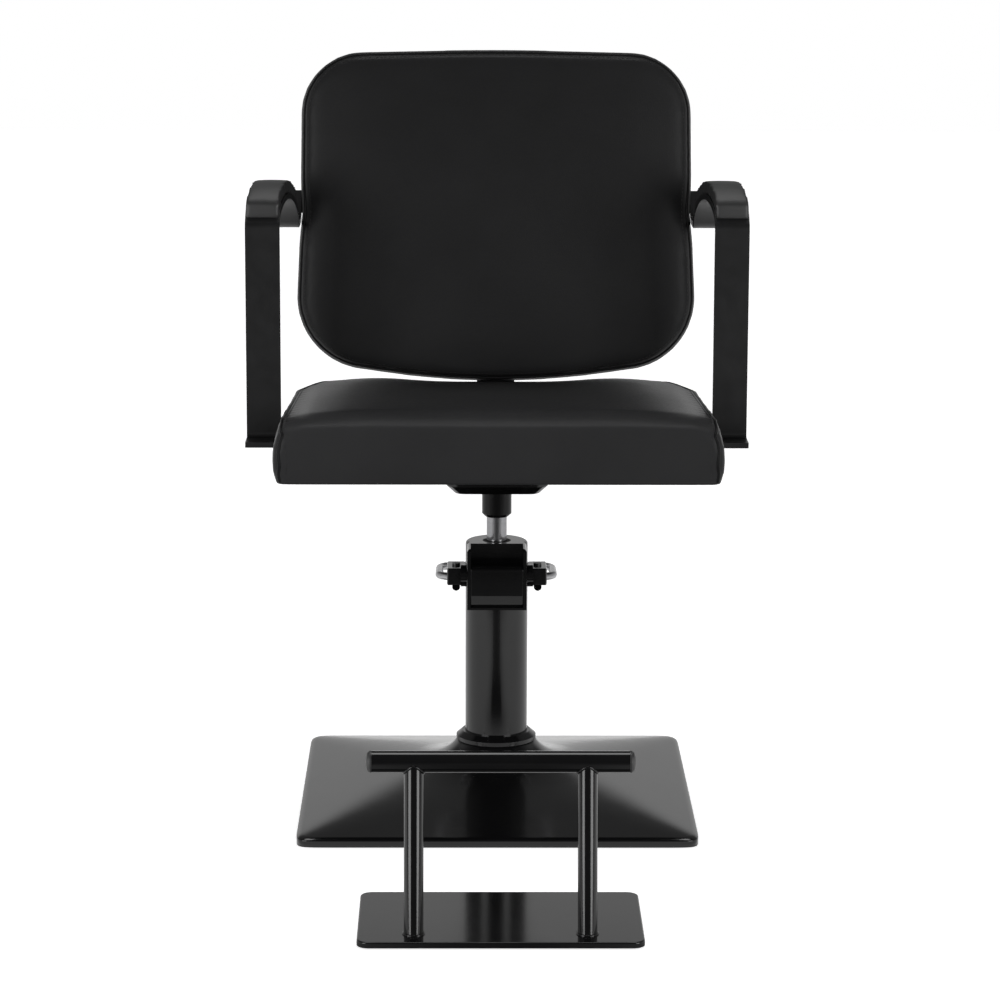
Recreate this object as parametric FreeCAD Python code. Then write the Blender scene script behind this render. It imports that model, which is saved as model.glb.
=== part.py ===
import FreeCAD, Part
import math
import os

# Salon styling chair: square pyramid base, hydraulic pump column with foot pedal,
# upholstered seat and back, flat steel arms with moulded pads, and a footrest
# that stands by itself on the floor in front of the base.
# Units are millimetres. The origin is on the floor under the column's axis.
# The sitter faces -Y, and +Z is up.

V = FreeCAD.Vector
AXIS_X = V(1, 0, 0)
AXIS_Y = V(0, 1, 0)
AXIS_Z = V(0, 0, 1)
ORIGIN = V(0, 0, 0)

# Clearances and overruns
seat_gap = 0.3            # air beside a soft piece or between separate bodies
fit_gap = 0.05            # running clearance on a radius
overrun = 5.0             # length that a cutting tool runs past a face

# Base
base_size = 500.0
base_corner_radius = 18.0
rim_height = 9.0          # upright edge of the cover
rim_lip = 4.0             # width of the rolled lip on top of the rim
rim_lip_height = 2.0
sheet = 2.5               # cover's steel sheet
foot_pad_height = 2.0
foot_pad_radius = 20.0
foot_pad_inset = 45.0
base_plate_thickness = 6.0
base_plate_margin = 12.0
cover_lift = 1.0          # cover's lower edge above the floor
shoulder_half = 112.0     # where the flat flanks end and the neck begins
shoulder_height = 39.0
neck_half = 64.0
neck_height = 60.0
crown_half = 50.0
crown_height = 76.0

# Collar where the column leaves the base
collar_radius = 51.5
collar_height = 11.0
collar_bevel = 7.5
collar_wall_share = 0.45  # upright part of the collar's height

# Pump column
column_radius = 40.0
column_wall = 3.5
column_top = 258.0
flange_radius = 62.0
flange_thickness = 10.0
flange_bolt_circle = 104.0
flange_bolt_radius = 4.0
flange_bolt_count = 4
flange_bolt_turn = 45.0
bolt_head_share = 1.7     # head radius over shank radius
bolt_head_height_share = 1.1

# Lift cylinder inside the column
lift_bore_radius = 30.0
lift_tube_wall = 3.0
rod_radius = 13.0
piston_bottom = 50.0
piston_height = 24.0
thrust_height = 3.0
thrust_margin = 1.0       # washer's edge inside the rod's
valve_port_radius = 4.0
piston_groove_depth = 3.0
piston_groove_height = 4.0
piston_groove_count = 2
piston_groove_pitch = 9.0

# Pump head
head_top = 337.0
head_edge_radius = 4.0
bush_wall = 3.0
wiper_height = 4.0
wiper_lip = 2.0
cheek_half_width = 37.8
cheek_thickness = 4.3
cheek_front = -58.0       # Y of the cheeks' front edges
recess_back = -21.5       # Y of the recess's rear wall
recess_floor = 276.0
head_floor = 3.0

# Front cover of the pump head
cover_sheet = 2.5
cover_top = 313.0
cover_top_radius = 4.5
cover_bevel_height = 16.0
cover_bevel_depth = 7.0
cover_top_depth = 14.0    # how far the cover's top runs back

# Pedal mechanism
shaft_y = -44.0
shaft_z = 300.0
shaft_radius = 6.0
cam_radius = 8.0
spacer_wall = 2.0
cam_half_width = 8.0
cam_reach = 14.0          # from the shaft's axis to the nose's axis
cam_nose_radius = 4.0
lever_outer = 63.5        # X of the lever arm's outer end
lever_height = 22.0
lever_front = 9.0         # in front of the shaft's axis
lever_length = 46.0
lever_boss_radius = 14.0
lever_boss_width = 8.0
lever_edge_radius = 2.0
clamp_screw_radius = 3.0
clamp_screw_head = 3.0
pedal_rod_radius = 5.0
pedal_neck_half = 52.0    # X of the rods where they are clamped
pedal_rod_drop = 13.5     # rods' axis below the shaft's axis
pedal_front = 7.0         # rods' front ends, in front of the shaft's axis
pedal_neck_length = 74.0  # from the front end to the outward bend
pedal_wing_half = 74.0
pedal_reach = 170.0       # from the front end to the rear bar's axis
pedal_bend_radius = 16.0
pedal_corner_radius = 24.0
pedal_rest_slope = 3.0    # degrees that the rods fall towards the rear

# Plunger under the cam
plunger_radius = 5.0
plunger_head_radius = 8.0
plunger_head_height = 4.0
plunger_length = 24.0
plunger_hidden = 8.0      # length that stays inside the barrel
barrel_wall = 3.0
spring_wire_radius = 0.6
spring_turns = 3.0

# Seat hub and seat plate
hub_radius = 19.0
hub_bottom = 369.0
hub_chamfer = 4.0
hub_socket_depth = 35.0
pan_bottom = 408.0
pan_bottom_half_x = 54.0
pan_bottom_half_y = 56.0
pan_bevel_height = 11.0
pan_bevel_width = 10.0
pan_flare = 6.0
pan_corner_radius = 14.0
pan_sheet = 3.0
pan_flange_half_x = 105.0
pan_flange_half_y = 92.0
plate_bolt_radius = 4.0
plate_bolt_inset = 14.0

# Seat
seat_bottom = 457.0
seat_front = -245.0
seat_rear = 195.0
seat_half_width = 266.0   # at the side seams
seat_bulge = 8.5          # side panels stand out past the seams
seat_front_top = 523.0    # top panel's height over the front, at the seams
seat_rear_top = 511.0
seat_crown = 5.0          # middle of the top panel above its seams
seat_crest_setback = 95.0
seat_crest_radius = 400.0
seat_front_rounding = 30.0
seat_rear_rounding = 24.0
seat_lower_rounding = 5.0
seat_side_rounding = 22.0
seat_front_corner = 12.0  # plan radii
seat_rear_corner = 88.0
seat_crest_share = 0.03   # fall from the front edge to the crest, of the seat's depth over the board
side_panel_shares = [(0.0, 0.0), (0.45, 0.12), (0.8, 0.4), (1.0, 1.0)]
board_thickness = 12.0
board_lift = 10.0         # board's underside above the cushion's lower edge
board_inset = 16.0

# Arms
band_width = 44.0
band_thickness = 7.0
arm_post_y = 28.0
arm_seat_gap = 2.5        # between the band and the cushion's swollen side
arm_back_gap = 1.3        # between the band and the back's waist
arm_lug_length = 43.0
arm_foot_radius = 9.0
arm_post_top = 734.0
arm_bend_radius = 10.0
arm_rise_angle = 45.0
arch_radius = 94.0
arm_fall_angle = 55.0
arm_dip_radius = 18.0
arm_flange_radius = 9.0
arm_flange_height = 30.0
tab_reach = 105.0         # from the band's middle to the welded tab's end behind the back
tab_thickness = 6.0
tab_bolt_spacing = 38.0
tab_bolt_inset = 16.0
toe_start = 45.0
toe_end = 165.0
rail_length = 130.0
rail_bolt_radius = 4.0

# Arm pads
pad_half_width = 21.5
pad_thickness = 18.0
pad_front_setback = 3.0    # pad's upright front face behind the post's middle
pad_corner_radius = 6.0
pad_nose_radius = 4.0
pad_crown = 1.5
pad_start_angle = 47.0
pad_end_angle = 44.0
pad_screw_radius = 3.0

# Back
back_lean = 8.0           # degrees from upright
back_foot_y = 165.0       # front seam plane at the back's lower edge
back_bottom = 519.0
back_height = 435.0
back_half_width = 263.0
back_cushion_depth = 46.0
back_crown = 12.0
back_edge_rounding = 14.0
back_edge_draw = 5.0      # boxing drawn in at the seams
back_board_thickness = 10.0
back_board_inset = 12.0
back_cover_thickness = 9.0
back_cover_inset = 5.0
back_bottom_radius = 1000.0
back_low_corner_radius = 95.0
back_waist_radius = 900.0
back_top_corner_radius = 80.0
back_top_radius = 3000.0
# corners of the right half of the outline, as shares of half width and height
back_outline_shares = [(0.0, -0.0247), (1.011, 0.062), (0.980, 0.48), (0.970, 0.990),
                       (0.0, 1.003)]
back_shoulder_shares = [(0.0, 0.0), (0.3, 0.05), (0.55, 0.2), (0.75, 0.5), (1.0, 1.2)]
arm_bolt_radius = 4.0

# Back bar: the flat steel that carries the back from under the seat
bar_width = 50.0
bar_thickness = 8.0
bar_plate_gap = 6.0        # between the bar and the seat plate's flange
bar_bend_radius = 30.0
bar_length_up = 150.0     # length against the back's rear

# Footrest
footrest_width = 327.0
footrest_depth = 192.0
footrest_centre_y = -551.5
footrest_plate_thickness = 7.0
footrest_corner_radius = 14.0
footrest_edge_radius = 2.0
footrest_pad_margin = 12.0
footrest_pad_width = 24.0
upright_radius = 11.2
upright_wall = 1.6
upright_half_spacing = 99.0
upright_front_inset = 33.0
upright_lean = 12.0
bar_radius = 12.5
bar_half_length = 147.0
bar_height = 200.0
cap_depth = 7.0


def save(node, shape):
    """Write one node's solids."""
    if shape.ShapeType == "Compound" and len(shape.Solids) == 1:
        shape = shape.Solids[0]
    shape.exportStep("parts/%s.step" % node)


def group(shapes):
    """Separate solids kept together in one node."""
    return Part.makeCompound(shapes)


def moved(shape, x=0.0, y=0.0, z=0.0):
    result = shape.copy()
    result.translate(V(x, y, z))
    return result


def turned(shape, centre, axis, degrees):
    result = shape.copy()
    result.rotate(centre, axis, degrees)
    return result


def mirrored(shape):
    """The left-hand copy of a right-hand piece."""
    return shape.mirror(ORIGIN, AXIS_X)


def block(x0, x1, y0, y1, z0, z1):
    return Part.makeBox(x1 - x0, y1 - y0, z1 - z0, V(x0, y0, z0))


def post(radius, z0, z1, x=0.0, y=0.0):
    return Part.makeCylinder(radius, z1 - z0, V(x, y, z0), AXIS_Z)


def tube(outer, inner, z0, z1, x=0.0, y=0.0):
    bore = post(inner, z0 - overrun, z1 + overrun, x, y)
    return post(outer, z0, z1, x, y).cut(bore)


def turned_profile(points):
    """Revolve (radius, height) points about the column's axis."""
    wire = Part.makePolygon([V(r, 0, z) for r, z in points + points[:1]])
    return Part.Face(wire).revolve(ORIGIN, AXIS_Z, 360)


def rounded_wire(half_x, half_y, radius, z, centre_y=0.0):
    """Rectangle with round corners at height z."""
    cx = half_x - radius
    cy = half_y - radius
    diagonal = radius * math.sqrt(0.5)
    edges = []
    corners = [(1, 1), (-1, 1), (-1, -1), (1, -1)]
    for i, (sx, sy) in enumerate(corners):
        along_y = (sx * half_x, centre_y + sy * cy)
        middle = (sx * (cx + diagonal), centre_y + sy * (cy + diagonal))
        along_x = (sx * cx, centre_y + sy * half_y)
        first, last = (along_y, along_x) if sx * sy > 0 else (along_x, along_y)
        edges.append(Part.Arc(V(*first, z), V(*middle, z), V(*last, z)).toShape())
        nx, ny = corners[(i + 1) % 4]
        if sx * sy > 0:
            start = V(*last, z)
            end = V(nx * cx, centre_y + ny * half_y, z)
        else:
            start = V(*last, z)
            end = V(nx * half_x, centre_y + ny * cy, z)
        edges.append(Part.LineSegment(start, end).toShape())
    return Part.Wire(edges)


def rounded_plate(half_x, half_y, radius, z0, z1, centre_y=0.0):
    face = Part.Face(rounded_wire(half_x, half_y, radius, z0, centre_y))
    return face.extrude(V(0, 0, z1 - z0))


def outline(points, radii, place, inset=0.0):
    """Closed wire of straight runs and tangent arcs through (a, b) corners that go
    round anticlockwise, drawn in by inset; place maps (a, b) to a 3-D point."""
    count = len(points)
    corners = []
    for i in range(count):
        here = V(points[i][0], points[i][1], 0)
        before = V(points[i - 1][0], points[i - 1][1], 0)
        after = V(points[(i + 1) % count][0], points[(i + 1) % count][1], 0)
        d1 = (here - before).normalize()
        d2 = (after - here).normalize()
        n1 = V(-d1.y, d1.x, 0)
        n2 = V(-d2.y, d2.x, 0)
        side = 1 if d1.cross(d2).z > 0 else -1
        radius = radii[i] - side * inset
        half_turn = d1.getAngle(d2) / 2
        reach = radius * math.tan(half_turn)
        tip = here + (n1 + n2) * (inset / (1 + n1.dot(n2)))
        bow = (n1 + n2).normalize() * side * (radius / math.cos(half_turn) - radius)
        corners.append([tip - d1 * reach, tip + bow, tip + d2 * reach])
    edges = []
    for i in range(count):
        first, middle, last = [place(p.x, p.y) for p in corners[i]]
        run_end = corners[(i + 1) % count][0]
        edges.append(Part.Arc(first, middle, last).toShape())
        edges.append(Part.LineSegment(last, place(run_end.x, run_end.y)).toShape())
    return Part.Wire(edges)


def bolt(radius, z_seat, length, x, y, up=False):
    """Hex bolt whose head bears on z_seat, its shank running away from it."""
    head_radius = radius * bolt_head_share
    head_height = radius * bolt_head_height_share
    corners = [V(x + head_radius * math.cos(math.radians(60 * i)),
                 y + head_radius * math.sin(math.radians(60 * i)), z_seat) for i in range(7)]
    direction = 1 if up else -1
    head = Part.Face(Part.makePolygon(corners)).extrude(V(0, 0, direction * head_height))
    shank = Part.makeCylinder(radius, length, V(x, y, z_seat), V(0, 0, -direction))
    return head.fuse(shank).removeSplitter()


def bolt_hole(radius, z0, z1, x, y):
    return post(radius + fit_gap, z0 - overrun, z1 + overrun, x, y)


# Base

base_half = base_size / 2
rim_top = cover_lift + rim_height
plate_bottom = foot_pad_height
plate_top = plate_bottom + base_plate_thickness
flange_top = plate_top + flange_thickness


def pyramid(inset, drop):
    """The cover's outline body, drawn in by inset and lowered by drop."""
    rim_radius = base_corner_radius - inset
    lip_half = base_half - rim_lip
    lip_radius = base_corner_radius - rim_lip
    shoulder_radius = base_corner_radius * 1.5
    foot = rounded_plate(base_half - inset, base_half - inset, rim_radius,
                         cover_lift, rim_top - drop)
    lip_bottom = rounded_wire(base_half - inset, base_half - inset, rim_radius, rim_top - drop)
    lip_top = rounded_wire(lip_half - inset, lip_half - inset, lip_radius - inset,
                           rim_top + rim_lip_height - drop)
    shoulder = rounded_wire(shoulder_half - inset, shoulder_half - inset,
                            shoulder_radius - inset, shoulder_height - drop)
    neck = rounded_wire(neck_half - inset, neck_half - inset,
                        (neck_half + shoulder_radius) / 2 - inset, neck_height - drop)
    crown = rounded_wire(crown_half - inset, crown_half - inset,
                         (crown_half - inset) * 0.96, crown_height - drop)
    flanks = Part.makeLoft([lip_bottom, lip_top, shoulder, neck, crown], True, True)
    return foot.fuse(flanks)


def make_base():
    outer = pyramid(0.0, 0.0)
    inner = pyramid(sheet, sheet)
    opening = post(column_radius + seat_gap, 0, crown_height + overrun)
    floor_cut = rounded_plate(base_half - sheet, base_half - sheet, base_corner_radius - sheet,
                              -overrun, cover_lift)
    save("base_cover", outer.cut(inner).cut(opening).cut(floor_cut).removeSplitter())

    plate_half = base_half - base_plate_margin
    plate = rounded_plate(plate_half, plate_half, base_corner_radius, plate_bottom, plate_top)
    flange = tube(flange_radius, lift_bore_radius / 2, plate_top, flange_top)
    bolts = []
    for i in range(flange_bolt_count):
        angle = math.radians(flange_bolt_turn + 360.0 * i / flange_bolt_count)
        x = flange_bolt_circle / 2 * math.cos(angle)
        y = flange_bolt_circle / 2 * math.sin(angle)
        hole = bolt_hole(flange_bolt_radius, plate_bottom, flange_top, x, y)
        plate = plate.cut(hole)
        flange = flange.cut(hole)
        bolts.append(bolt(flange_bolt_radius, flange_top, flange_top - plate_bottom, x, y, up=True))
    save("base_plate", plate)
    save("pump_flange", flange)
    save("flange_bolts", group(bolts))

    spots = [(0, 0)]
    spread = plate_half - foot_pad_inset
    spots += [(sx * spread, sy * spread) for sx in (-1, 1) for sy in (-1, 1)]
    save("floor_pads", group([post(foot_pad_radius, 0, plate_bottom, x, y) for x, y in spots]))

    inner_radius = column_radius + seat_gap
    upright_top = crown_height + collar_height * collar_wall_share
    collar = turned_profile([
        (inner_radius, crown_height),
        (collar_radius, crown_height),
        (collar_radius, upright_top),
        (collar_radius - collar_bevel, crown_height + collar_height),
        (inner_radius, crown_height + collar_height)])
    save("collar_ring", collar)


# Pump column and lift

lift_tube_radius = lift_bore_radius + lift_tube_wall
bush_radius = rod_radius + fit_gap + bush_wall
piston_top = piston_bottom + piston_height
socket_top = hub_bottom + hub_socket_depth
rod_top = socket_top - seat_gap - thrust_height


def make_column():
    save("pump_cylinder", tube(column_radius, column_radius - column_wall, flange_top, column_top))
    save("lift_tube", tube(lift_tube_radius, lift_bore_radius + fit_gap, flange_top, column_top))

    body = post(column_radius, column_top, head_top)
    cheeks = block(-cheek_half_width, cheek_half_width, cheek_front, 0, column_top, head_top)
    body = body.fuse(cheeks).removeSplitter()
    top_edges = [e for e in body.Edges if abs(e.BoundBox.ZMin - head_top) < fit_gap
                 and abs(e.BoundBox.ZMax - head_top) < fit_gap]
    body = body.makeFillet(head_edge_radius, top_edges)
    inner_half = cheek_half_width - cheek_thickness
    recess = block(-inner_half, inner_half, cheek_front - overrun, recess_back,
                   recess_floor, head_top + overrun)
    chamber = block(-inner_half, inner_half, cheek_front - overrun, -column_radius,
                    column_top + head_floor, recess_floor + overrun)
    bore = post(bush_radius + fit_gap, column_top - overrun, head_top + overrun)
    seal_seat = post(bush_radius + wiper_lip + fit_gap, head_top - wiper_height, head_top + overrun)
    barrel_y = shaft_y + cam_reach
    barrel_bore = post(plunger_radius + fit_gap + barrel_wall + fit_gap,
                       column_top + head_floor, recess_floor + overrun, 0, barrel_y)
    shaft_bore = Part.makeCylinder(shaft_radius + fit_gap, 2 * (cheek_half_width + overrun),
                                   V(-cheek_half_width - overrun, shaft_y, shaft_z), AXIS_X)
    head = body.cut(recess).cut(chamber).cut(bore).cut(seal_seat).cut(barrel_bore).cut(shaft_bore)
    save("pump_head", head.removeSplitter())

    save("guide_bush", tube(bush_radius, rod_radius + fit_gap, column_top,
                            head_top - wiper_height))
    save("wiper_seal", tube(bush_radius + wiper_lip, rod_radius + fit_gap,
                            head_top - wiper_height, head_top))
    save("plunger_barrel", tube(plunger_radius + fit_gap + barrel_wall, plunger_radius + fit_gap,
                                column_top + head_floor, recess_floor, 0, barrel_y))
    save("front_cover", make_front_cover(inner_half))
    save("foot_valve", tube(lift_bore_radius, valve_port_radius, flange_top,
                            piston_bottom - seat_gap))


def make_front_cover(inner_half):
    """Sheet cover between the cheeks: rounded top, upright face, bevelled foot."""
    half = inner_half - seat_gap
    front = cheek_front
    bottom = column_top + head_floor
    knee = bottom + cover_bevel_height
    round_centre_y = front + cover_top_radius
    round_centre_z = cover_top - cover_top_radius
    diagonal = math.sqrt(0.5)
    back = front + cover_top_depth

    def line(a, b):
        return Part.LineSegment(V(-half, *a), V(-half, *b)).toShape()

    def round_edge(radius, first, last):
        middle = (round_centre_y - radius * diagonal, round_centre_z + radius * diagonal)
        return Part.Arc(V(-half, *first), V(-half, *middle), V(-half, *last)).toShape()

    inner_radius = cover_top_radius - cover_sheet
    outside = [(front + cover_bevel_depth, bottom), (front, knee), (front, round_centre_z),
               (round_centre_y, cover_top), (back, cover_top)]
    inside = [(back, cover_top - cover_sheet), (round_centre_y, cover_top - cover_sheet),
              (front + cover_sheet, round_centre_z), (front + cover_sheet, knee),
              (front + cover_bevel_depth + cover_sheet, bottom)]
    edges = [line(outside[0], outside[1]), line(outside[1], outside[2]),
             round_edge(cover_top_radius, outside[2], outside[3]),
             line(outside[3], outside[4]), line(outside[4], inside[0]),
             line(inside[0], inside[1]), round_edge(inner_radius, inside[1], inside[2]),
             line(inside[2], inside[3]), line(inside[3], inside[4]), line(inside[4], outside[0])]
    return Part.Face(Part.Wire(edges)).extrude(V(2 * half, 0, 0))


def make_ram():
    groove_inner = lift_bore_radius - piston_groove_depth
    piston = post(lift_bore_radius - fit_gap, piston_bottom, piston_top)
    seals = []
    for i in range(piston_groove_count):
        z0 = piston_bottom + piston_groove_height + i * piston_groove_pitch
        z1 = z0 + piston_groove_height
        piston = piston.cut(tube(lift_bore_radius + overrun, groove_inner, z0, z1))
        seals.append(tube(lift_bore_radius, groove_inner + fit_gap, z0, z1))
    save("ram_piston", piston)
    save("piston_seals", group(seals))
    save("piston_rod", post(rod_radius, piston_top, rod_top))
    save("thrust_washer", post(rod_radius - thrust_margin, rod_top, rod_top + thrust_height))


# Pedal mechanism

def make_pedal():
    inner_half = cheek_half_width - cheek_thickness
    lever_inner = cheek_half_width + seat_gap
    save("pedal_shaft", Part.makeCylinder(shaft_radius, 2 * (lever_outer - overrun),
                                          V(-lever_outer + overrun, shaft_y, shaft_z), AXIS_X))

    nose_z = recess_floor + plunger_rise + seat_gap + cam_nose_radius
    nose_y = shaft_y + cam_reach
    hub = Part.makeCylinder(cam_radius, 2 * cam_half_width,
                            V(-cam_half_width, shaft_y, shaft_z), AXIS_X)
    nose = Part.makeCylinder(cam_nose_radius, 2 * cam_half_width,
                             V(-cam_half_width, nose_y, nose_z), AXIS_X)
    arm = block(-cam_half_width, cam_half_width, shaft_y, nose_y,
                nose_z - cam_nose_radius, nose_z + cam_nose_radius)
    cam_bore = Part.makeCylinder(shaft_radius + fit_gap, 2 * cam_half_width + 2 * overrun,
                                 V(-cam_half_width - overrun, shaft_y, shaft_z), AXIS_X)
    save("rocker_cam", hub.fuse(arm).fuse(nose).cut(cam_bore).removeSplitter())

    spacer_inner = cam_half_width + seat_gap
    spacers = []
    for side in (-1, 1):
        start = min(side * spacer_inner, side * (inner_half - seat_gap))
        length = inner_half - seat_gap - spacer_inner
        ring = Part.makeCylinder(shaft_radius + fit_gap + spacer_wall, length,
                                 V(start, shaft_y, shaft_z), AXIS_X)
        hole = Part.makeCylinder(shaft_radius + fit_gap, length + 2 * overrun,
                                 V(start - overrun, shaft_y, shaft_z), AXIS_X)
        spacers.append(ring.cut(hole))
    save("shaft_spacers", group(spacers))

    half_height = lever_height / 2
    front = shaft_y - lever_front
    bar = block(lever_inner, lever_outer, front, front + lever_length,
                shaft_z - half_height, shaft_z + half_height)
    bar = bar.makeFillet(lever_edge_radius, bar.Edges)
    boss = Part.makeCylinder(lever_boss_radius, lever_boss_width,
                             V(lever_inner, shaft_y, shaft_z), AXIS_X)
    column_clear = post(column_radius + seat_gap + cover_sheet, shaft_z - lever_height,
                        shaft_z + lever_height)
    rods = make_pedal_rod(pedal_rod_radius + fit_gap)
    socket = Part.makeCylinder(shaft_radius + fit_gap, lever_outer - lever_inner - overrun,
                               V(lever_inner, shaft_y, shaft_z), AXIS_X)
    screw_y = shaft_y + lever_boss_radius
    screw_bottom = shaft_z - pedal_rod_drop + pedal_rod_radius
    screw_hole = post(clamp_screw_radius + fit_gap, screw_bottom, shaft_z + lever_height,
                      pedal_neck_half, screw_y)
    lever = bar.fuse(boss).cut(column_clear).cut(rods).cut(socket).cut(screw_hole)
    save("right_lever_arm", lever.removeSplitter())
    save("left_lever_arm", mirrored(lever.removeSplitter()))

    screw = post(clamp_screw_radius, screw_bottom + seat_gap, shaft_z + half_height,
                 pedal_neck_half, screw_y)
    head = post(clamp_screw_radius * bolt_head_share, shaft_z + half_height,
                shaft_z + half_height + clamp_screw_head, pedal_neck_half, screw_y)
    screw = screw.fuse(head).removeSplitter()
    save("clamp_screws", group([screw, mirrored(screw)]))
    save("foot_pedal", make_pedal_rod(pedal_rod_radius))


def make_pedal_rod(radius):
    """One bent rod: two parallel necks, wings turned out, round corners, rear bar."""
    front = shaft_y - pedal_front
    z = shaft_z - pedal_rod_drop
    wing_y = front + pedal_neck_length
    rear_y = front + pedal_reach
    corners = [(pedal_neck_half, front), (pedal_neck_half, wing_y),
               (pedal_wing_half, wing_y + pedal_bend_radius), (pedal_wing_half, rear_y)]
    route = corners + [(-x, y) for x, y in reversed(corners)]
    radii = [0, pedal_bend_radius, pedal_bend_radius, pedal_corner_radius]
    radii = radii + list(reversed(radii))
    wire = round_route([V(x, y, z) for x, y in route], radii)
    start = Part.Wire(Part.makeCircle(radius, V(pedal_neck_half, front, z), AXIS_Y))
    rod = Part.Wire(wire).makePipeShell([start], True, False)
    return turned(rod, V(0, shaft_y, shaft_z), AXIS_X, -pedal_rest_slope)


def round_route(points, radii):
    """Straight runs joined by tangent arcs of the given radii."""
    edges = []
    here = points[0]
    for i in range(1, len(points) - 1):
        before = (points[i - 1] - points[i]).normalize()
        after = (points[i + 1] - points[i]).normalize()
        half_turn = (math.pi - before.getAngle(after)) / 2
        reach = radii[i] * math.tan(half_turn)
        first = points[i] + before * reach
        last = points[i] + after * reach
        inward = (before + after).normalize()
        middle = points[i] + inward * (radii[i] / math.cos(half_turn) - radii[i])
        if (first - here).Length > fit_gap:
            edges.append(Part.LineSegment(here, first).toShape())
        edges.append(Part.Arc(first, middle, last).toShape())
        here = last
    edges.append(Part.LineSegment(here, points[-1]).toShape())
    return edges


spring_radius = plunger_radius + spring_wire_radius + 3 * fit_gap + fit_gap
plunger_rise = plunger_length - plunger_hidden


def make_plunger():
    y = shaft_y + cam_reach
    head_top_z = recess_floor + plunger_rise
    head_bottom = head_top_z - plunger_head_height
    stem = post(plunger_radius, head_top_z - plunger_length, head_bottom, 0, y)
    cap = post(plunger_head_radius, head_bottom, head_top_z, 0, y)
    save("pump_plunger", stem.fuse(cap).removeSplitter())

    height = head_bottom - recess_floor - 2 * spring_wire_radius - 2 * fit_gap
    z0 = recess_floor + spring_wire_radius + fit_gap
    path = Part.makeHelix(height / spring_turns, height, spring_radius)
    wire = Part.Wire(Part.makeCircle(spring_wire_radius, V(spring_radius, 0, 0), AXIS_Y))
    coil = Part.Wire(path.Edges).makePipeShell([wire], True, True)
    save("plunger_spring", moved(coil, 0, y, z0))


# Seat

board_bottom = seat_bottom + board_lift
bar_start = pan_flange_half_y + bar_plate_gap
board_top = board_bottom + board_thickness
rail_bottom = board_bottom - band_thickness
back_cover_rear = back_cushion_depth + back_board_thickness + back_cover_thickness
arm_front_half = seat_half_width + seat_bulge + arm_seat_gap + band_width / 2
back_waist_half = back_half_width * back_outline_shares[2][0]
arm_rear_half = back_waist_half + arm_back_gap + band_width / 2
tab_inner = arm_rear_half - tab_reach
seat_middle = (seat_front + seat_rear) / 2
board_corner_radius = seat_rear_corner - board_inset


def make_hub():
    socket = post(rod_radius + fit_gap, hub_bottom - overrun, socket_top)
    hub = turned_profile([
        (0, hub_bottom), (hub_radius - hub_chamfer, hub_bottom),
        (hub_radius, hub_bottom + hub_chamfer), (hub_radius, pan_bottom), (0, pan_bottom)])
    save("seat_hub", hub.cut(socket))


def pan_body(inset):
    """The seat plate's dish, drawn in by inset; its bottom rises by the same."""
    radius = pan_corner_radius
    knee_x = pan_bottom_half_x + pan_bevel_width
    knee_y = pan_bottom_half_y + pan_bevel_width
    bottom = pan_bottom + inset
    sections = [
        rounded_wire(pan_bottom_half_x - inset, pan_bottom_half_y - inset, radius, bottom),
        rounded_wire(knee_x - inset, knee_y - inset, radius, pan_bottom + pan_bevel_height + inset),
        rounded_wire(knee_x + pan_flare - inset, knee_y + pan_flare - inset, radius, board_bottom)]
    return Part.makeLoft(sections, True, True)


def make_seat_plate():
    flange_bottom = board_bottom - pan_sheet
    flange = rounded_plate(pan_flange_half_x, pan_flange_half_y, pan_corner_radius,
                           flange_bottom, board_bottom)
    plate = pan_body(0.0).fuse(flange)
    plate = plate.cut(pan_body(pan_sheet))
    bolts = []
    bolt_x = pan_flange_half_x - plate_bolt_inset
    for sx in (-1, 1):
        for sy in (-1, 1):
            y = sy * (pan_flange_half_y - plate_bolt_inset)
            plate = plate.cut(bolt_hole(plate_bolt_radius, flange_bottom, board_bottom,
                                        sx * bolt_x, y))
            bolts.append(bolt(plate_bolt_radius, flange_bottom, pan_sheet + board_thickness,
                              sx * bolt_x, y))
    save("seat_plate", plate.removeSplitter())
    save("seat_plate_bolts", group(bolts))
    return [(sx * bolt_x, sy * (pan_flange_half_y - plate_bolt_inset))
            for sx in (-1, 1) for sy in (-1, 1)]


def seat_profile(x, lift, inset):
    """Side view of the cushion at x: upright front, rounded edges, top falling rearward."""
    crest_y = seat_front + seat_crest_setback
    crest_z = seat_front_top - seat_crest_share * (seat_front_top - board_bottom)
    corners = [(seat_front, seat_bottom), (seat_rear, seat_bottom),
               (seat_rear, seat_rear_top + lift), (crest_y, crest_z + lift),
               (seat_front, seat_front_top + lift)]
    radii = [seat_side_rounding + seat_lower_rounding, seat_side_rounding + seat_lower_rounding,
             seat_rear_rounding, seat_crest_radius, seat_front_rounding]
    return outline(corners, radii, lambda a, b: V(x, a, b), inset)


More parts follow.
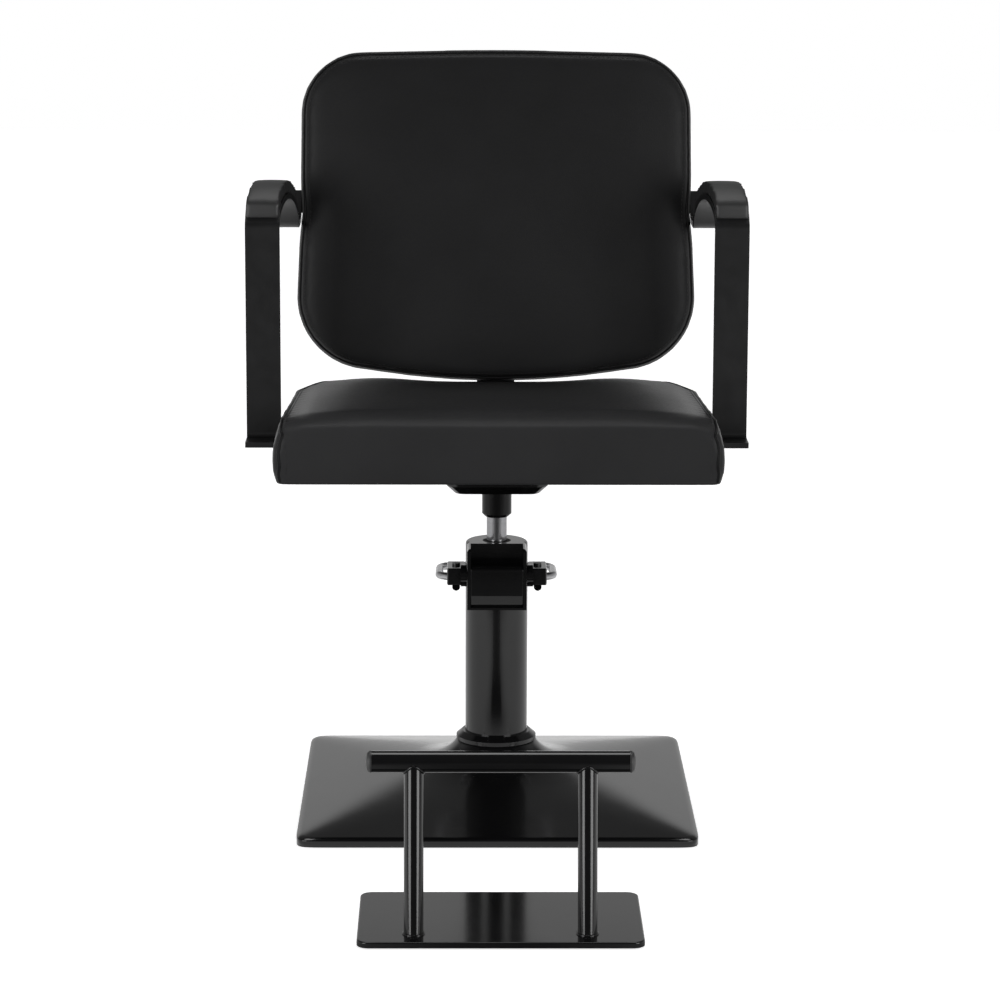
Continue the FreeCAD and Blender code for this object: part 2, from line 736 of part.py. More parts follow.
def make_seat_cushion(rail_gap):
    middle = Part.makeLoft([seat_profile(-seat_half_width, 0.0, 0.0),
                            seat_profile(0.0, seat_crown, 0.0),
                            seat_profile(seat_half_width, 0.0, 0.0)], True, False)
    panel = Part.makeLoft([
        seat_profile(seat_half_width + out * seat_bulge, 0.0, draw * seat_side_rounding)
        for out, draw in side_panel_shares], True, True)
    cushion = middle.fuse(panel).fuse(mirrored(panel))
    reach = seat_half_width + seat_bulge + seat_gap
    corners = [(-reach, seat_front), (reach, seat_front), (reach, seat_rear),
               (-reach, seat_rear)]
    radii = [seat_front_corner, seat_front_corner, seat_rear_corner, seat_rear_corner]
    plan = Part.Face(outline(corners, radii, lambda a, b: V(a, b, seat_bottom - overrun)))
    column = plan.extrude(V(0, 0, seat_front_top - seat_bottom + seat_crown + 2 * overrun))
    cushion = cushion.common(column)
    half = seat_half_width - board_inset
    pocket = rounded_plate(half + seat_gap, (seat_rear - seat_front) / 2 - board_inset + seat_gap,
                           board_corner_radius, seat_bottom - overrun, board_top + seat_gap,
                           seat_middle)
    cushion = cushion.cut(pocket)
    cushion = cushion.cut(rail_gap).cut(mirrored(rail_gap))
    bar_gap = block(-bar_width / 2 - seat_gap, bar_width / 2 + seat_gap, seat_middle,
                    seat_rear + overrun, seat_bottom - overrun, board_bottom + seat_gap)
    save("seat_cushion", cushion.cut(bar_gap))


def make_board(holes):
    half = seat_half_width - board_inset
    board = rounded_plate(half, (seat_rear - seat_front) / 2 - board_inset, board_corner_radius,
                          board_bottom, board_top, seat_middle)
    for radius, x, y in holes:
        board = board.cut(bolt_hole(radius, board_bottom, board_top, x, y))
    save("seat_board", board)


# Arms

def arm_route():
    """Middle line of the band in the (Y, Z) plane, as edges with their end tangents."""
    edges = []

    def arc(centre, radius, a0, a1):
        """Arc between two angles in degrees about centre."""
        points = [V(0, centre[0] + radius * math.cos(math.radians(a)),
                    centre[1] + radius * math.sin(math.radians(a)))
                  for a in (a0, (a0 + a1) / 2, a1)]
        edges.append(Part.Arc(*points).toShape())
        return points[2].y, points[2].z

    def line(start, end):
        edges.append(Part.LineSegment(V(0, *start), V(0, *end)).toShape())

    lug_z = board_bottom - band_thickness / 2
    line((arm_post_y - arm_lug_length, lug_z), (arm_post_y - arm_foot_radius, lug_z))
    arc((arm_post_y - arm_foot_radius, lug_z + arm_foot_radius), arm_foot_radius, -90, 0)
    line((arm_post_y, lug_z + arm_foot_radius), (arm_post_y, arm_post_top))
    bend = arc((arm_post_y + arm_bend_radius, arm_post_top), arm_bend_radius,
               180, 90 + arm_rise_angle)
    rise = math.radians(arm_rise_angle)
    arch_centre = (bend[0] + arch_radius * math.sin(rise), bend[1] - arch_radius * math.cos(rise))
    fall = arc(arch_centre, arch_radius, 90 + arm_rise_angle, 90 - arm_fall_angle)
    slope = math.radians(arm_fall_angle)
    dip_centre = (fall[0] + arm_dip_radius * math.sin(slope),
                  fall[1] + arm_dip_radius * math.cos(slope))
    tail = arc(dip_centre, arm_dip_radius, -90 - arm_fall_angle, -90)
    lean = math.radians(back_lean)
    rise_z = tail[1] + arm_flange_radius * (1 - math.sin(lean)) - back_bottom
    tail_end = (back_cover_rear - band_thickness / 2 + rise_z * math.sin(lean)) / math.cos(lean)
    tail_end = tail_end + back_foot_y - arm_flange_radius * math.cos(lean)
    line(tail, (tail_end, tail[1]))
    flange = arc((tail_end, tail[1] + arm_flange_radius), arm_flange_radius, -90, -back_lean)
    line(flange, (flange[0] + arm_flange_height * math.sin(lean),
                  flange[1] + arm_flange_height * math.cos(lean)))
    return edges, arch_centre, flange


def thickened(edges, half_thickness, x0, x1):
    """A band of even thickness along a flat (Y, Z) route, from x0 to x1."""
    wire = Part.Wire(edges)
    start = wire.Edges[0].Vertexes[0].Point
    section = Part.makePolygon([
        V(x0, start.y, start.z - half_thickness), V(x1, start.y, start.z - half_thickness),
        V(x1, start.y, start.z + half_thickness), V(x0, start.y, start.z + half_thickness),
        V(x0, start.y, start.z - half_thickness)])
    return wire.makePipeShell([section], True, False)


def plan_strip(half_width, z0, z1, y0, y1, middle_front, middle_rear):
    """Plan outline of the arm: straight, turned in towards the back, straight again."""
    stations = [(y0, middle_front), (toe_start, middle_front), (toe_end, middle_rear),
                (y1, middle_rear)]
    points = [V(x - half_width, y, z0) for y, x in stations]
    points += [V(x + half_width, y, z0) for y, x in reversed(stations)]
    return Part.Face(Part.makePolygon(points + points[:1])).extrude(V(0, 0, z1 - z0))


def make_arms():
    edges, arch_centre, flange = arm_route()
    half = band_width / 2
    wide = thickened(edges, band_thickness / 2, arm_rear_half - band_width,
                     arm_front_half + band_width)
    strip = plan_strip(half, rail_bottom - overrun, arm_post_top + 2 * arch_radius,
                       arm_post_y - arm_lug_length - overrun,
                       flange[0] + band_width, arm_front_half, arm_rear_half)
    band = wide.common(strip)

    pad, screw_spots = make_pad(arch_centre)
    screws = []
    for place, direction in screw_spots:
        start = place - direction * (band_thickness + pad_screw_radius)
        length = band_thickness + pad_screw_radius + pad_thickness / 2
        shank = Part.makeCylinder(pad_screw_radius, length, start, direction)
        head = Part.makeCylinder(pad_screw_radius * bolt_head_share, pad_screw_radius,
                                 start, direction)
        hole = Part.makeCylinder(pad_screw_radius + fit_gap, length + fit_gap,
                                 start, direction)
        band = band.cut(hole)
        pad = pad.cut(hole)
        screws.append(head.cut(wide).fuse(shank).removeSplitter())

    lean = math.radians(back_lean)
    low = (flange[1] - back_bottom) * math.cos(lean) + (flange[0] - back_foot_y) * math.sin(lean)
    high = low + arm_flange_height
    tab_rear = back_cover_rear + tab_thickness
    tab = leaned(block(tab_inner, arm_rear_half + half, back_cover_rear, tab_rear, low, high))
    band = band.fuse(tab)
    bolts = []
    holes = []
    length = tab_thickness + back_cover_thickness + back_board_thickness
    away = V(0, math.cos(lean), -math.sin(lean))
    for i in range(2):
        x = tab_inner + tab_bolt_inset + i * tab_bolt_spacing
        seat = V(0, back_foot_y, back_bottom) + away * tab_rear
        seat = seat + V(x, math.sin(lean) * (low + high) / 2, math.cos(lean) * (low + high) / 2)
        hole = Part.makeCylinder(arm_bolt_radius + fit_gap, length + overrun,
                                 seat + away * overrun, away * -1)
        band = band.cut(hole)
        holes.append(hole)
        shank = Part.makeCylinder(arm_bolt_radius, length, seat, away * -1)
        head_height = arm_bolt_radius * bolt_head_height_share
        head = Part.makeCylinder(arm_bolt_radius * bolt_head_share, head_height, seat, away)
        bolts.append(head.fuse(shank).removeSplitter())

    band = band.removeSplitter()
    save("right_arm_band", band)
    save("left_arm_band", mirrored(band))
    save("right_arm_pad", pad)
    save("left_arm_pad", mirrored(pad))
    save("arm_pad_screws", group(screws + [mirrored(s) for s in screws]))
    save("arm_back_bolts", group(bolts + [mirrored(b) for b in bolts]))

    rail_outer = arm_front_half - half
    rail_inner = rail_outer - rail_length
    lug_front = arm_post_y - arm_lug_length
    rail = block(rail_inner, rail_outer, lug_front, lug_front + band_width,
                 rail_bottom, board_bottom)
    rail_bolts = []
    board_holes = []
    for share in (0.15, 0.5):
        x = rail_inner + share * rail_length
        y = lug_front + half
        rail = rail.cut(bolt_hole(rail_bolt_radius, rail_bottom, board_bottom, x, y))
        rail_bolts.append(bolt(rail_bolt_radius, rail_bottom,
                               band_thickness + board_thickness, x, y))
        board_holes += [(rail_bolt_radius, x, y), (rail_bolt_radius, -x, y)]
    save("right_arm_rail", rail)
    save("left_arm_rail", mirrored(rail))
    save("arm_rail_bolts", group(rail_bolts + [mirrored(b) for b in rail_bolts]))
    rail_gap = block(rail_inner - seat_gap, rail_outer + band_width, lug_front - seat_gap,
                     lug_front + band_width + seat_gap, rail_bottom - overrun,
                     board_bottom + seat_gap)
    return holes, board_holes, rail_gap


def make_pad(arch_centre):
    """Moulded pad on the arch: flat sides, rounded upper edges, upright front face."""
    inner = arch_radius + band_thickness / 2
    centre = V(0, arch_centre[0], arch_centre[1])
    sweep_angle = pad_start_angle + pad_end_angle

    def station(share):
        """Point on the band's top face in the band's middle, and the way out from it."""
        a = math.radians(90 + pad_start_angle - share * sweep_angle)
        out = V(0, math.cos(a), math.sin(a))
        place = centre + out * inner
        shift = min(max((place.y - toe_start) / (toe_end - toe_start), 0.0), 1.0)
        return place + AXIS_X * (arm_front_half + (arm_rear_half - arm_front_half) * shift), out

    def section(share):
        base, out = station(share)
        half = pad_half_width
        flat = half - pad_corner_radius
        wall = pad_thickness - pad_crown - pad_corner_radius
        diagonal = pad_corner_radius * math.sqrt(0.5)

        def at(x, height):
            return base + AXIS_X * x + out * height

        def rounding(side):
            return Part.Arc(at(side * half, wall), at(side * (flat + diagonal), wall + diagonal),
                            at(side * flat, wall + pad_corner_radius)).toShape()

        crown = Part.Arc(at(flat, wall + pad_corner_radius), at(0, pad_thickness),
                         at(-flat, wall + pad_corner_radius)).toShape()
        return Part.Wire([
            Part.LineSegment(at(-half, 0), at(half, 0)).toShape(),
            Part.LineSegment(at(half, 0), at(half, wall)).toShape(), rounding(1), crown,
            rounding(-1), Part.LineSegment(at(-half, wall), at(-half, 0)).toShape()])

    stations = 9
    pad = Part.makeLoft([section(i / (stations - 1)) for i in range(stations)], True, False)
    band_top = Part.makeCylinder(inner + fit_gap / 5, 4 * arm_front_half, centre, AXIS_X)
    front_y = arm_post_y + pad_front_setback
    ahead = block(0, 2 * arm_front_half, front_y - arch_radius, front_y,
                  arch_centre[1], arch_centre[1] + 2 * arch_radius)
    pad = pad.cut(band_top).cut(ahead)
    nose = [e for e in pad.Edges if abs(e.BoundBox.YMax - front_y) < fit_gap
            and abs(e.BoundBox.YMin - front_y) < fit_gap
            and e.BoundBox.ZMin > arch_centre[1] + inner * math.cos(math.radians(arm_rise_angle))
            + pad_thickness / 2]
    pad = pad.makeFillet(pad_nose_radius, nose)
    return pad, [station(0.3), station(0.7)]


# Back, modelled upright with its lower edge at the origin, then leaned

def leaned(shape):
    """Place a back piece: lean it about X and lift it to the back's foot."""
    return moved(turned(shape, ORIGIN, AXIS_X, -back_lean), 0, back_foot_y, back_bottom)


def back_outline(depth, inset):
    """The back's outline at a depth, drawn in evenly by inset."""
    right = [(x * back_half_width, z * back_height) for x, z in back_outline_shares]
    left = [(-x, z) for x, z in reversed(right[1:-1])]
    sides = [back_low_corner_radius, back_waist_radius, back_top_corner_radius]
    radii = [back_bottom_radius] + sides + [back_top_radius] + list(reversed(sides))
    return outline(right + left, radii, lambda a, b: V(a, depth, b), inset)


def back_slab(front, rear, inset_front, inset_rear):
    return Part.makeLoft([back_outline(front, inset_front), back_outline(rear, inset_rear)],
                         True, True)


def make_back(arm_holes):
    board_rear = back_cushion_depth + back_board_thickness
    shoulder = Part.makeLoft([
        back_outline(-depth * back_crown, back_edge_draw + draw * back_edge_rounding)
        for depth, draw in back_shoulder_shares], True, True)
    middle = back_cushion_depth / 2
    cushion = shoulder.fuse(back_slab(0.0, middle, back_edge_draw, 0.0))
    cushion = cushion.fuse(back_slab(middle, back_cushion_depth, 0.0, back_edge_draw))
    span = back_half_width ** 2 + (back_height / 2) ** 2
    dome_radius = span / (2 * back_crown)
    dome = Part.makeSphere(dome_radius, V(0, dome_radius - back_crown, back_height / 2))
    cushion = leaned(cushion.common(dome))
    save("back_cushion", cushion)

    board = leaned(back_slab(back_cushion_depth, board_rear, back_board_inset, back_board_inset))
    upright = back_cover_rear - back_cover_thickness / 3
    cover = back_slab(board_rear, upright, back_cover_inset, back_cover_inset)
    cover = cover.fuse(back_slab(upright, back_cover_rear, back_cover_inset,
                                 back_cover_inset + back_cover_thickness / 3))
    cover = leaned(cover)
    for hole in arm_holes:
        board = board.cut(hole).cut(mirrored(hole))
        cover = cover.cut(hole).cut(mirrored(hole))

    bar, bolts, seat_bolts, board_holes = make_back_bar(back_cover_rear)
    for hole in bolts["holes"]:
        board = board.cut(hole)
        cover = cover.cut(hole)
    save("back_board", board)
    save("back_cover", cover)
    save("back_bar", bar)
    save("back_bar_bolts", group(bolts["solids"]))
    save("back_bar_seat_bolts", group(seat_bolts))
    return board_holes


def make_back_bar(cover_back):
    """Flat bar from under the seat board, bent up behind the back."""
    lean = math.radians(back_lean)
    up = V(0, math.sin(lean), math.cos(lean))
    away = V(0, math.cos(lean), -math.sin(lean))
    foot = V(0, back_foot_y, back_bottom)
    low_z = board_bottom - bar_thickness / 2
    against = foot + away * (cover_back + bar_thickness / 2)
    drop = (against.z - low_z) / up.z
    knee = against - up * drop
    top = against + up * bar_length_up
    start = V(0, bar_start, low_z)
    edges = round_route([start, knee, top], [0, bar_bend_radius, 0])
    half = bar_width / 2
    section = Part.makePolygon([
        V(-half, start.y, low_z - bar_thickness / 2), V(half, start.y, low_z - bar_thickness / 2),
        V(half, start.y, low_z + bar_thickness / 2), V(-half, start.y, low_z + bar_thickness / 2),
        V(-half, start.y, low_z - bar_thickness / 2)])
    bar = Part.Wire(edges).makePipeShell([section], True, False)

    solids = []
    holes = []
    for share in (0.35, 0.62, 0.89):
        seat = against + up * (bar_length_up * share) + away * (bar_thickness / 2)
        length = bar_thickness + back_cover_thickness + back_board_thickness
        shank = Part.makeCylinder(arm_bolt_radius, length, seat, away * -1)
        head_height = arm_bolt_radius * bolt_head_height_share
        head = Part.makeCylinder(arm_bolt_radius * bolt_head_share, head_height, seat, away)
        hole = Part.makeCylinder(arm_bolt_radius + fit_gap, length,
                                 seat + away * overrun, away * -1)
        hole = hole.fuse(Part.makeCylinder(arm_bolt_radius + fit_gap, length, seat, away * -1))
        bar = bar.cut(hole)
        solids.append(head.fuse(shank).removeSplitter())
        holes.append(hole)

    seat_bolts = []
    board_holes = []
    for share in (0.2, 0.62):
        y = bar_start + share * (seat_rear - board_inset - bar_start)
        bar = bar.cut(bolt_hole(rail_bolt_radius, low_z, board_bottom, 0, y))
        seat_bolts.append(bolt(rail_bolt_radius, board_bottom - bar_thickness,
                               bar_thickness + board_thickness, 0, y))
        board_holes.append((rail_bolt_radius, 0, y))
    return bar.removeSplitter(), {"solids": solids, "holes": holes}, seat_bolts, board_holes


# Footrest

def make_footrest():
    y0 = footrest_centre_y
    plate_top_z = foot_pad_height + footrest_plate_thickness
    plate = rounded_plate(footrest_width / 2, footrest_depth / 2, footrest_corner_radius,
                          foot_pad_height, plate_top_z)
    top_edges = [e for e in plate.Edges if e.BoundBox.ZMin > plate_top_z - fit_gap]
    plate = plate.makeFillet(footrest_edge_radius, top_edges)

    pads = []
    for side in (-1, 1):
        middle = side * (footrest_width / 2 - footrest_pad_margin - footrest_pad_width / 2)
        reach = footrest_depth / 2 - footrest_pad_margin
        pads.append(block(middle - footrest_pad_width / 2, middle + footrest_pad_width / 2,
                          -reach, reach, 0, foot_pad_height))

    lean = math.radians(upright_lean)
    foot_y = -footrest_depth / 2 + upright_front_inset
    bar_y = foot_y + (bar_height - plate_top_z) * math.tan(lean)
    bar_axis = V(-bar_half_length, bar_y, bar_height)
    bar = Part.makeCylinder(bar_radius, 2 * bar_half_length, bar_axis, AXIS_X)
    saddle = Part.makeCylinder(bar_radius + fit_gap / 5, 2 * bar_half_length, bar_axis, AXIS_X)
    length = (bar_height - plate_top_z) / math.cos(lean) + upright_radius
    uprights = []
    for side in (-1, 1):
        start = V(side * upright_half_spacing, foot_y, plate_top_z)
        direction = V(0, math.sin(lean), math.cos(lean))
        below = start - direction * upright_radius
        outer = Part.makeCylinder(upright_radius, length, below, direction)
        inner = Part.makeCylinder(upright_radius - upright_wall, length + overrun, below, direction)
        floor = block(-footrest_width, footrest_width, -footrest_depth, footrest_depth,
                      -footrest_depth, plate_top_z)
        uprights.append(outer.cut(inner).cut(floor).cut(saddle).Solids[0])

    caps = []
    for side in (-1, 1):
        cap = turned_profile([(0, 0), (bar_radius, 0), (bar_radius, cap_depth * 0.3),
                              (bar_radius * 0.86, cap_depth * 0.7),
                              (bar_radius * 0.55, cap_depth * 0.93), (0, cap_depth)])
        cap = turned(cap, ORIGIN, AXIS_Y, 90 * side)
        caps.append(moved(cap, side * bar_half_length, bar_y, bar_height))

    save("footrest_plate", moved(plate, 0, y0))
    save("footrest_pads", moved(group(pads), 0, y0))
    save("left_footrest_upright", moved(uprights[0], 0, y0))
    save("right_footrest_upright", moved(uprights[1], 0, y0))
    save("footrest_bar", moved(bar, 0, y0))
    save("footrest_bar_caps", moved(group(caps), 0, y0))


def main():
    os.makedirs("parts", exist_ok=True)
    make_base()
    make_column()
    make_ram()
    make_pedal()
    make_plunger()
    make_hub()
    plate_spots = make_seat_plate()
    arm_holes, rail_holes, rail_gap = make_arms()
    bar_holes = make_back(arm_holes)
    plate_holes = [(plate_bolt_radius, x, y) for x, y in plate_spots]
    make_board(plate_holes + rail_holes + bar_holes)
    make_seat_cushion(rail_gap)
    make_footrest()


main()
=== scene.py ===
import math

import bpy
import numpy as np
from mathutils import Euler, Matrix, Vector
from mathutils.bvhtree import BVHTree


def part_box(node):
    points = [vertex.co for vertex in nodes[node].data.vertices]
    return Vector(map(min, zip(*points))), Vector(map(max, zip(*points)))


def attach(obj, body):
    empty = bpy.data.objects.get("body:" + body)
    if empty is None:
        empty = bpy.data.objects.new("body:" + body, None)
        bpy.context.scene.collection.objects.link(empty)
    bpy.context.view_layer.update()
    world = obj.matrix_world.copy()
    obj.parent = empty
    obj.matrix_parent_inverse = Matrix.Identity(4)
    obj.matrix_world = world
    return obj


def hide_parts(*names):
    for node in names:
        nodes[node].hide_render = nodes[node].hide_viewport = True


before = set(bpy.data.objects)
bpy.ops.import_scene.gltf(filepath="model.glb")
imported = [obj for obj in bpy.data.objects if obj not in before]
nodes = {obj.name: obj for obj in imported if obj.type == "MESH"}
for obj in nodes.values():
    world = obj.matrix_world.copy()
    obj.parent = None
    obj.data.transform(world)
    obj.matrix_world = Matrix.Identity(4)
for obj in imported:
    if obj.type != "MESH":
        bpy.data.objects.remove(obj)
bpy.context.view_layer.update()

MM = 0.001

# Camera: places in metres, the focal length in pixels of the photograph, the film in mm
CAMERA_DISTANCE = 4.582
CAMERA_HEIGHT = 1.301
CAMERA_SIDE = 0.0041
CAMERA_PITCH = math.radians(11.25)
CAMERA_ROLL = math.radians(0.19)
CAMERA_ROUND = math.radians(-0.6)
FOCAL_PIXELS = 3642.0
PHOTO_PIXELS = 1000.0
FILM_WIDTH = 36.0

# Seat cushion, mm
SEAT_FRONT = -245.0
SEAT_REAR = 195.0
SEAT_BOTTOM = 457.0
SEAT_HALF = 266.0
SEAT_REAR_HALF = 258.0
SEAT_FRONT_TOP = 538.0
SEAT_REAR_TOP = 512.0
SEAT_CROWN = 3.0
SEAT_UNDERSIDE = SEAT_BOTTOM - 0.8
SEAT_SIDE_FALL = (5.0, 34.0)
SEAT_FRONT_ROUNDING = (58.0, 20.0)
SEAT_REAR_ROUNDING = (22.0, 20.0)
SEAT_SIDE_BULGE = 9.5
SEAT_FRONT_BULGE = 2.5
SEAT_CORNERS = [10.0, 10.0, 88.0, 88.0]
SEAT_UNDER_SHARES = (0.02, 0.2, 0.5, 0.8, 0.93, 0.975)
SEAT_WALL_SHARES = (0.0, 0.04, 0.1, 0.2, 0.3, 0.4, 0.5, 0.6, 0.7, 0.8, 0.88, 0.95, 1.0)
SEAT_TOP_INSETS = (0.4, 0.9, 1.5, 2.2, 3, 4, 5, 6.2, 7.5, 9, 11, 13, 15.5, 18.5, 22, 26, 30, 35, 41,
                   48, 56, 66, 80, 100, 130, 165, 200, 235)
SEAT_TOP_SPAN = 240.0

# Back, mm
BACK_LEAN = math.radians(8.0)
BACK_FOOT = (0.0, 165.0, 519.0)
BACK_HALF = 263.0
BACK_HEIGHT = 435.0
BACK_DEPTH = 46.0
BACK_COVER = (56.0, 65.0)
BACK_LIP = 46.8
BACK_BOARD_INSET = 12.0
BACK_MIDDLE_INSET = 262.0
BACK_MIDDLE_Z = 735.0
BACK_SPREAD = 2.6
BACK_SEAM = (5.8, 8.6)
BACK_STITCH_LINE = (13.0, 2.0)
BACK_FORM = [(BACK_MIDDLE_INSET, 0.0), (240.0, 0.0), (210.0, 0.0), (180.0, 0.0), (150.0, 0.0),
             (120.0, 0.0), (95.0, 0.0), (75.0, 0.0), (58.0, 0.0), (44.0, 0.0), (33.0, 0.2),
             (24.0, 0.7), (17.0, 1.8), (12.0, 3.4), (8.5, 5.6), (6.5, 8.0), (5.5, 10.5),
             (3.4, 15.0), (1.6, 21.0), (0.8, 27.0), (1.6, 34.0), (3.6, 40.0), (6.0, 44.0),
             (9.0, 45.6), (14.0, 46.0), (40.0, 46.0), (120.0, 46.0), (200.0, 46.0),
             (BACK_MIDDLE_INSET, 46.0)]
BACK_FRONT_ROWS = 17
BACK_CORNER_SHARES = [(0.0, -0.0247), (1.011, 0.062), (0.980, 0.48), (0.970, 0.990), (0.0, 1.003)]
BACK_CORNER_RADII = [1000.0, 95.0, 900.0, 80.0, 3000.0]

# Seams of the upholstery: sizes in mm, the even quads of the covers in metres
SEAM_HOLD = 4.0
PUFF_PRESSURE = 4.0
PUFF_CAP = 3.0
PIPING_RADIUS = 1.9
STITCH_LENGTH = 3.6
STITCH_GAP = 1.6
STITCH_RADIUS = 0.45
SEAT_VOXEL = 0.0042
BACK_VOXEL = 0.005
PAD_VOXEL = 0.0022

# Base cover, mm: half width, height and the plan's power along its profile
BASE_HALF = 250.0
BASE_FOOT = 1.0
BASE_RIM = 10.0
BASE_SHEET = 2.5
BASE_MOUTH = 40.3
BASE_PROFILE = [(246.0, 12.0, 32.0), (225.0, 16.2, 20.0), (200.0, 21.2, 12.0), (175.0, 26.3, 7.6),
                (150.0, 31.3, 5.2), (130.0, 35.4, 4.0), (112.0, 39.6, 3.2), (96.0, 44.6, 2.75),
                (80.0, 51.4, 2.4), (68.0, 58.4, 2.2), (58.0, 66.6, 2.05), (50.0, 76.0, 2.0)]

# Pump cover, mm
COVER_SHEET = 2.5
COVER_FOOT = 4.4
COVER_KNEE = 16.0

# Footrest, mm
FOOTREST_LEAN = math.radians(12.0)
UPRIGHT_X = 99.0
UPRIGHT_FOOT_Y = -614.5
UPRIGHT_FOOT_Z = 9.0
UPRIGHT_RADIUS = 11.2
PLATE_TOP = 9.0
BAR_RADIUS = 12.5
BAR_HEIGHT = 195.3
WELD_RADIUS = 1.5
WELD_OUT = 0.4
WELD_STEP = 2.2

# Light of the studio by direction: a level, and the sines between which it comes up
TOP_LEVEL = 3.6
TOP_RISE = (0.84, 0.91)
TOP_REAR = (0.04, 0.18)
TOP_INWARD = (-0.34, -0.20)
REAR_LEVEL = 0.50
REAR_SIDE = (0.0, 0.3)
REAR_RISE = (-0.46, -0.20)
HORIZON = (-0.03, 0.03)
HIGH_REAR_LEVEL = 0.10
HIGH_REAR_RISE = (-0.84, -0.74)
SIDE_LEVEL = 0.40
SIDE_RISE = (-0.5, -0.85)
SIDE_TOP = (-0.8, -0.5)
DARK_LEVEL = 0.05

# Lamps and floor, metres
LAMP_POWER = 42.0
LAMP_PLACE = (2.25, -2.5, 1.05)
LAMP_TARGET = (0, 0, 1.05)
LAMP_SIZE = (1.5, 1.9)
FLOOR_REACH = 9
FLOOR_NEAR = (-1.45, -0.8)
FLOOR_NEAR_LEVEL = 0.7
FLOOR_ASIDE = (0.02, 0.40)
FLOOR_BEHIND = (-0.5, -0.3)

# Arm pads, mm
ARCH_CENTRE = (97.4, 674.6)
BAND_TOP_RADIUS = 97.5
ARM_MIDDLES = (299.0, 281.0)
ARM_TOE = (45.0, 165.0)
PAD_FRONT = 31.0
PAD_HALF = 21.3
PAD_THICK = 17.6
PAD_TURNS = (44.0, -42.0)
PAD_TAIL = (44.0, 3.2)


# Meshes

def mesh_piece(name, vertices, faces):
    """A mesh from an (n, 3) array in metres and a list of face index arrays; the faces are
    turned over together if the signed volume of their fans comes out negative."""
    volume = 0.0
    for block in faces:
        a = vertices[block[:, 0]]
        for i in range(1, block.shape[1] - 1):
            volume += np.einsum("ij,ij->i", a, np.cross(vertices[block[:, i]],
                                                        vertices[block[:, i + 1]])).sum()
    if volume < 0:
        faces = [block[:, ::-1] for block in faces]
    mesh = bpy.data.meshes.new(name)
    loops = np.concatenate([block.ravel() for block in faces])
    sizes = np.concatenate([np.full(len(block), block.shape[1]) for block in faces])
    starts = np.concatenate([[0], np.cumsum(sizes)[:-1]])
    mesh.vertices.add(len(vertices))
    mesh.vertices.foreach_set("co", vertices.astype(np.float32).ravel())
    mesh.loops.add(len(loops))
    mesh.loops.foreach_set("vertex_index", loops.astype(np.int32))
    mesh.polygons.add(len(sizes))
    mesh.polygons.foreach_set("loop_start", starts.astype(np.int32))
    mesh.polygons.foreach_set("loop_total", sizes.astype(np.int32))
    mesh.update(calc_edges=True)
    mesh.validate()
    mesh.shade_smooth()
    piece = bpy.data.objects.new(name, mesh)
    bpy.context.scene.collection.objects.link(piece)
    return piece


def grid_piece(name, grid, ring=True, closed=False, poles=True):
    """A surface through a (rows, columns, 3) grid in millimetres. ring joins the last column
    to the first, closed joins the last row to the first, and poles closes both end rows with
    a fan to their middle point."""
    rows, columns, _ = grid.shape
    points = grid.reshape(-1, 3) * MM
    r = np.arange(rows if closed else rows - 1)
    c = np.arange(columns if ring else columns - 1)
    rr, cc = np.meshgrid(r, c, indexing="ij")
    next_r = (rr + 1) % rows
    next_c = (cc + 1) % columns
    quads = np.stack([rr * columns + cc, next_r * columns + cc,
                      next_r * columns + next_c, rr * columns + next_c], -1).reshape(-1, 4)
    faces = [quads]
    if poles and not closed:
        ends = points.reshape(rows, columns, 3)[[0, -1]].mean(1)
        first, last = len(points), len(points) + 1
        points = np.vstack([points, ends])
        i = np.arange(columns)
        j = (i + 1) % columns
        faces.append(np.stack([np.full(columns, first), i, j], -1))
        base = (rows - 1) * columns
        faces.append(np.stack([np.full(columns, last), base + j, base + i], -1))
    return mesh_piece(name, points, faces)


def tube_piece(name, path, radius, sides=10, closed=False):
    """A round tube along an (n, 3) path in millimetres: at each point a circle of the radius
    stands square to the path's direction, in a frame carried along without twist."""
    path = np.asarray(path, float)
    ahead = np.roll(path, -1, 0)
    behind = np.roll(path, 1, 0)
    if not closed:
        ahead[-1] = path[-1]
        behind[0] = path[0]
    along = ahead - behind
    along /= np.linalg.norm(along, axis=1)[:, None]
    normal = np.cross(along[0], (0.3, 0.5, 0.8))
    normal /= np.linalg.norm(normal)
    normals = np.empty_like(path)
    for i in range(len(path)):
        normal = normal - along[i] * (normal @ along[i])
        normal /= np.linalg.norm(normal)
        normals[i] = normal
    side = np.cross(along, normals)
    if closed:
        back = normals[-1] - along[0] * (normals[-1] @ along[0])
        back /= np.linalg.norm(back)
        twist = math.atan2(back @ side[0], back @ normals[0])
        turn = -twist * np.arange(len(path)) / len(path)
        c, s = np.cos(turn)[:, None], np.sin(turn)[:, None]
        normals, side = normals * c + side * s, side * c - normals * s
    angle = np.linspace(0, 2 * np.pi, sides, endpoint=False)
    radius = np.broadcast_to(np.asarray(radius, float), (len(path),))[:, None, None]
    grid = path[:, None] + radius * (np.cos(angle)[None, :, None] * normals[:, None]
                                     + np.sin(angle)[None, :, None] * side[:, None])
    return grid_piece(name, grid, ring=True, closed=closed, poles=not closed)


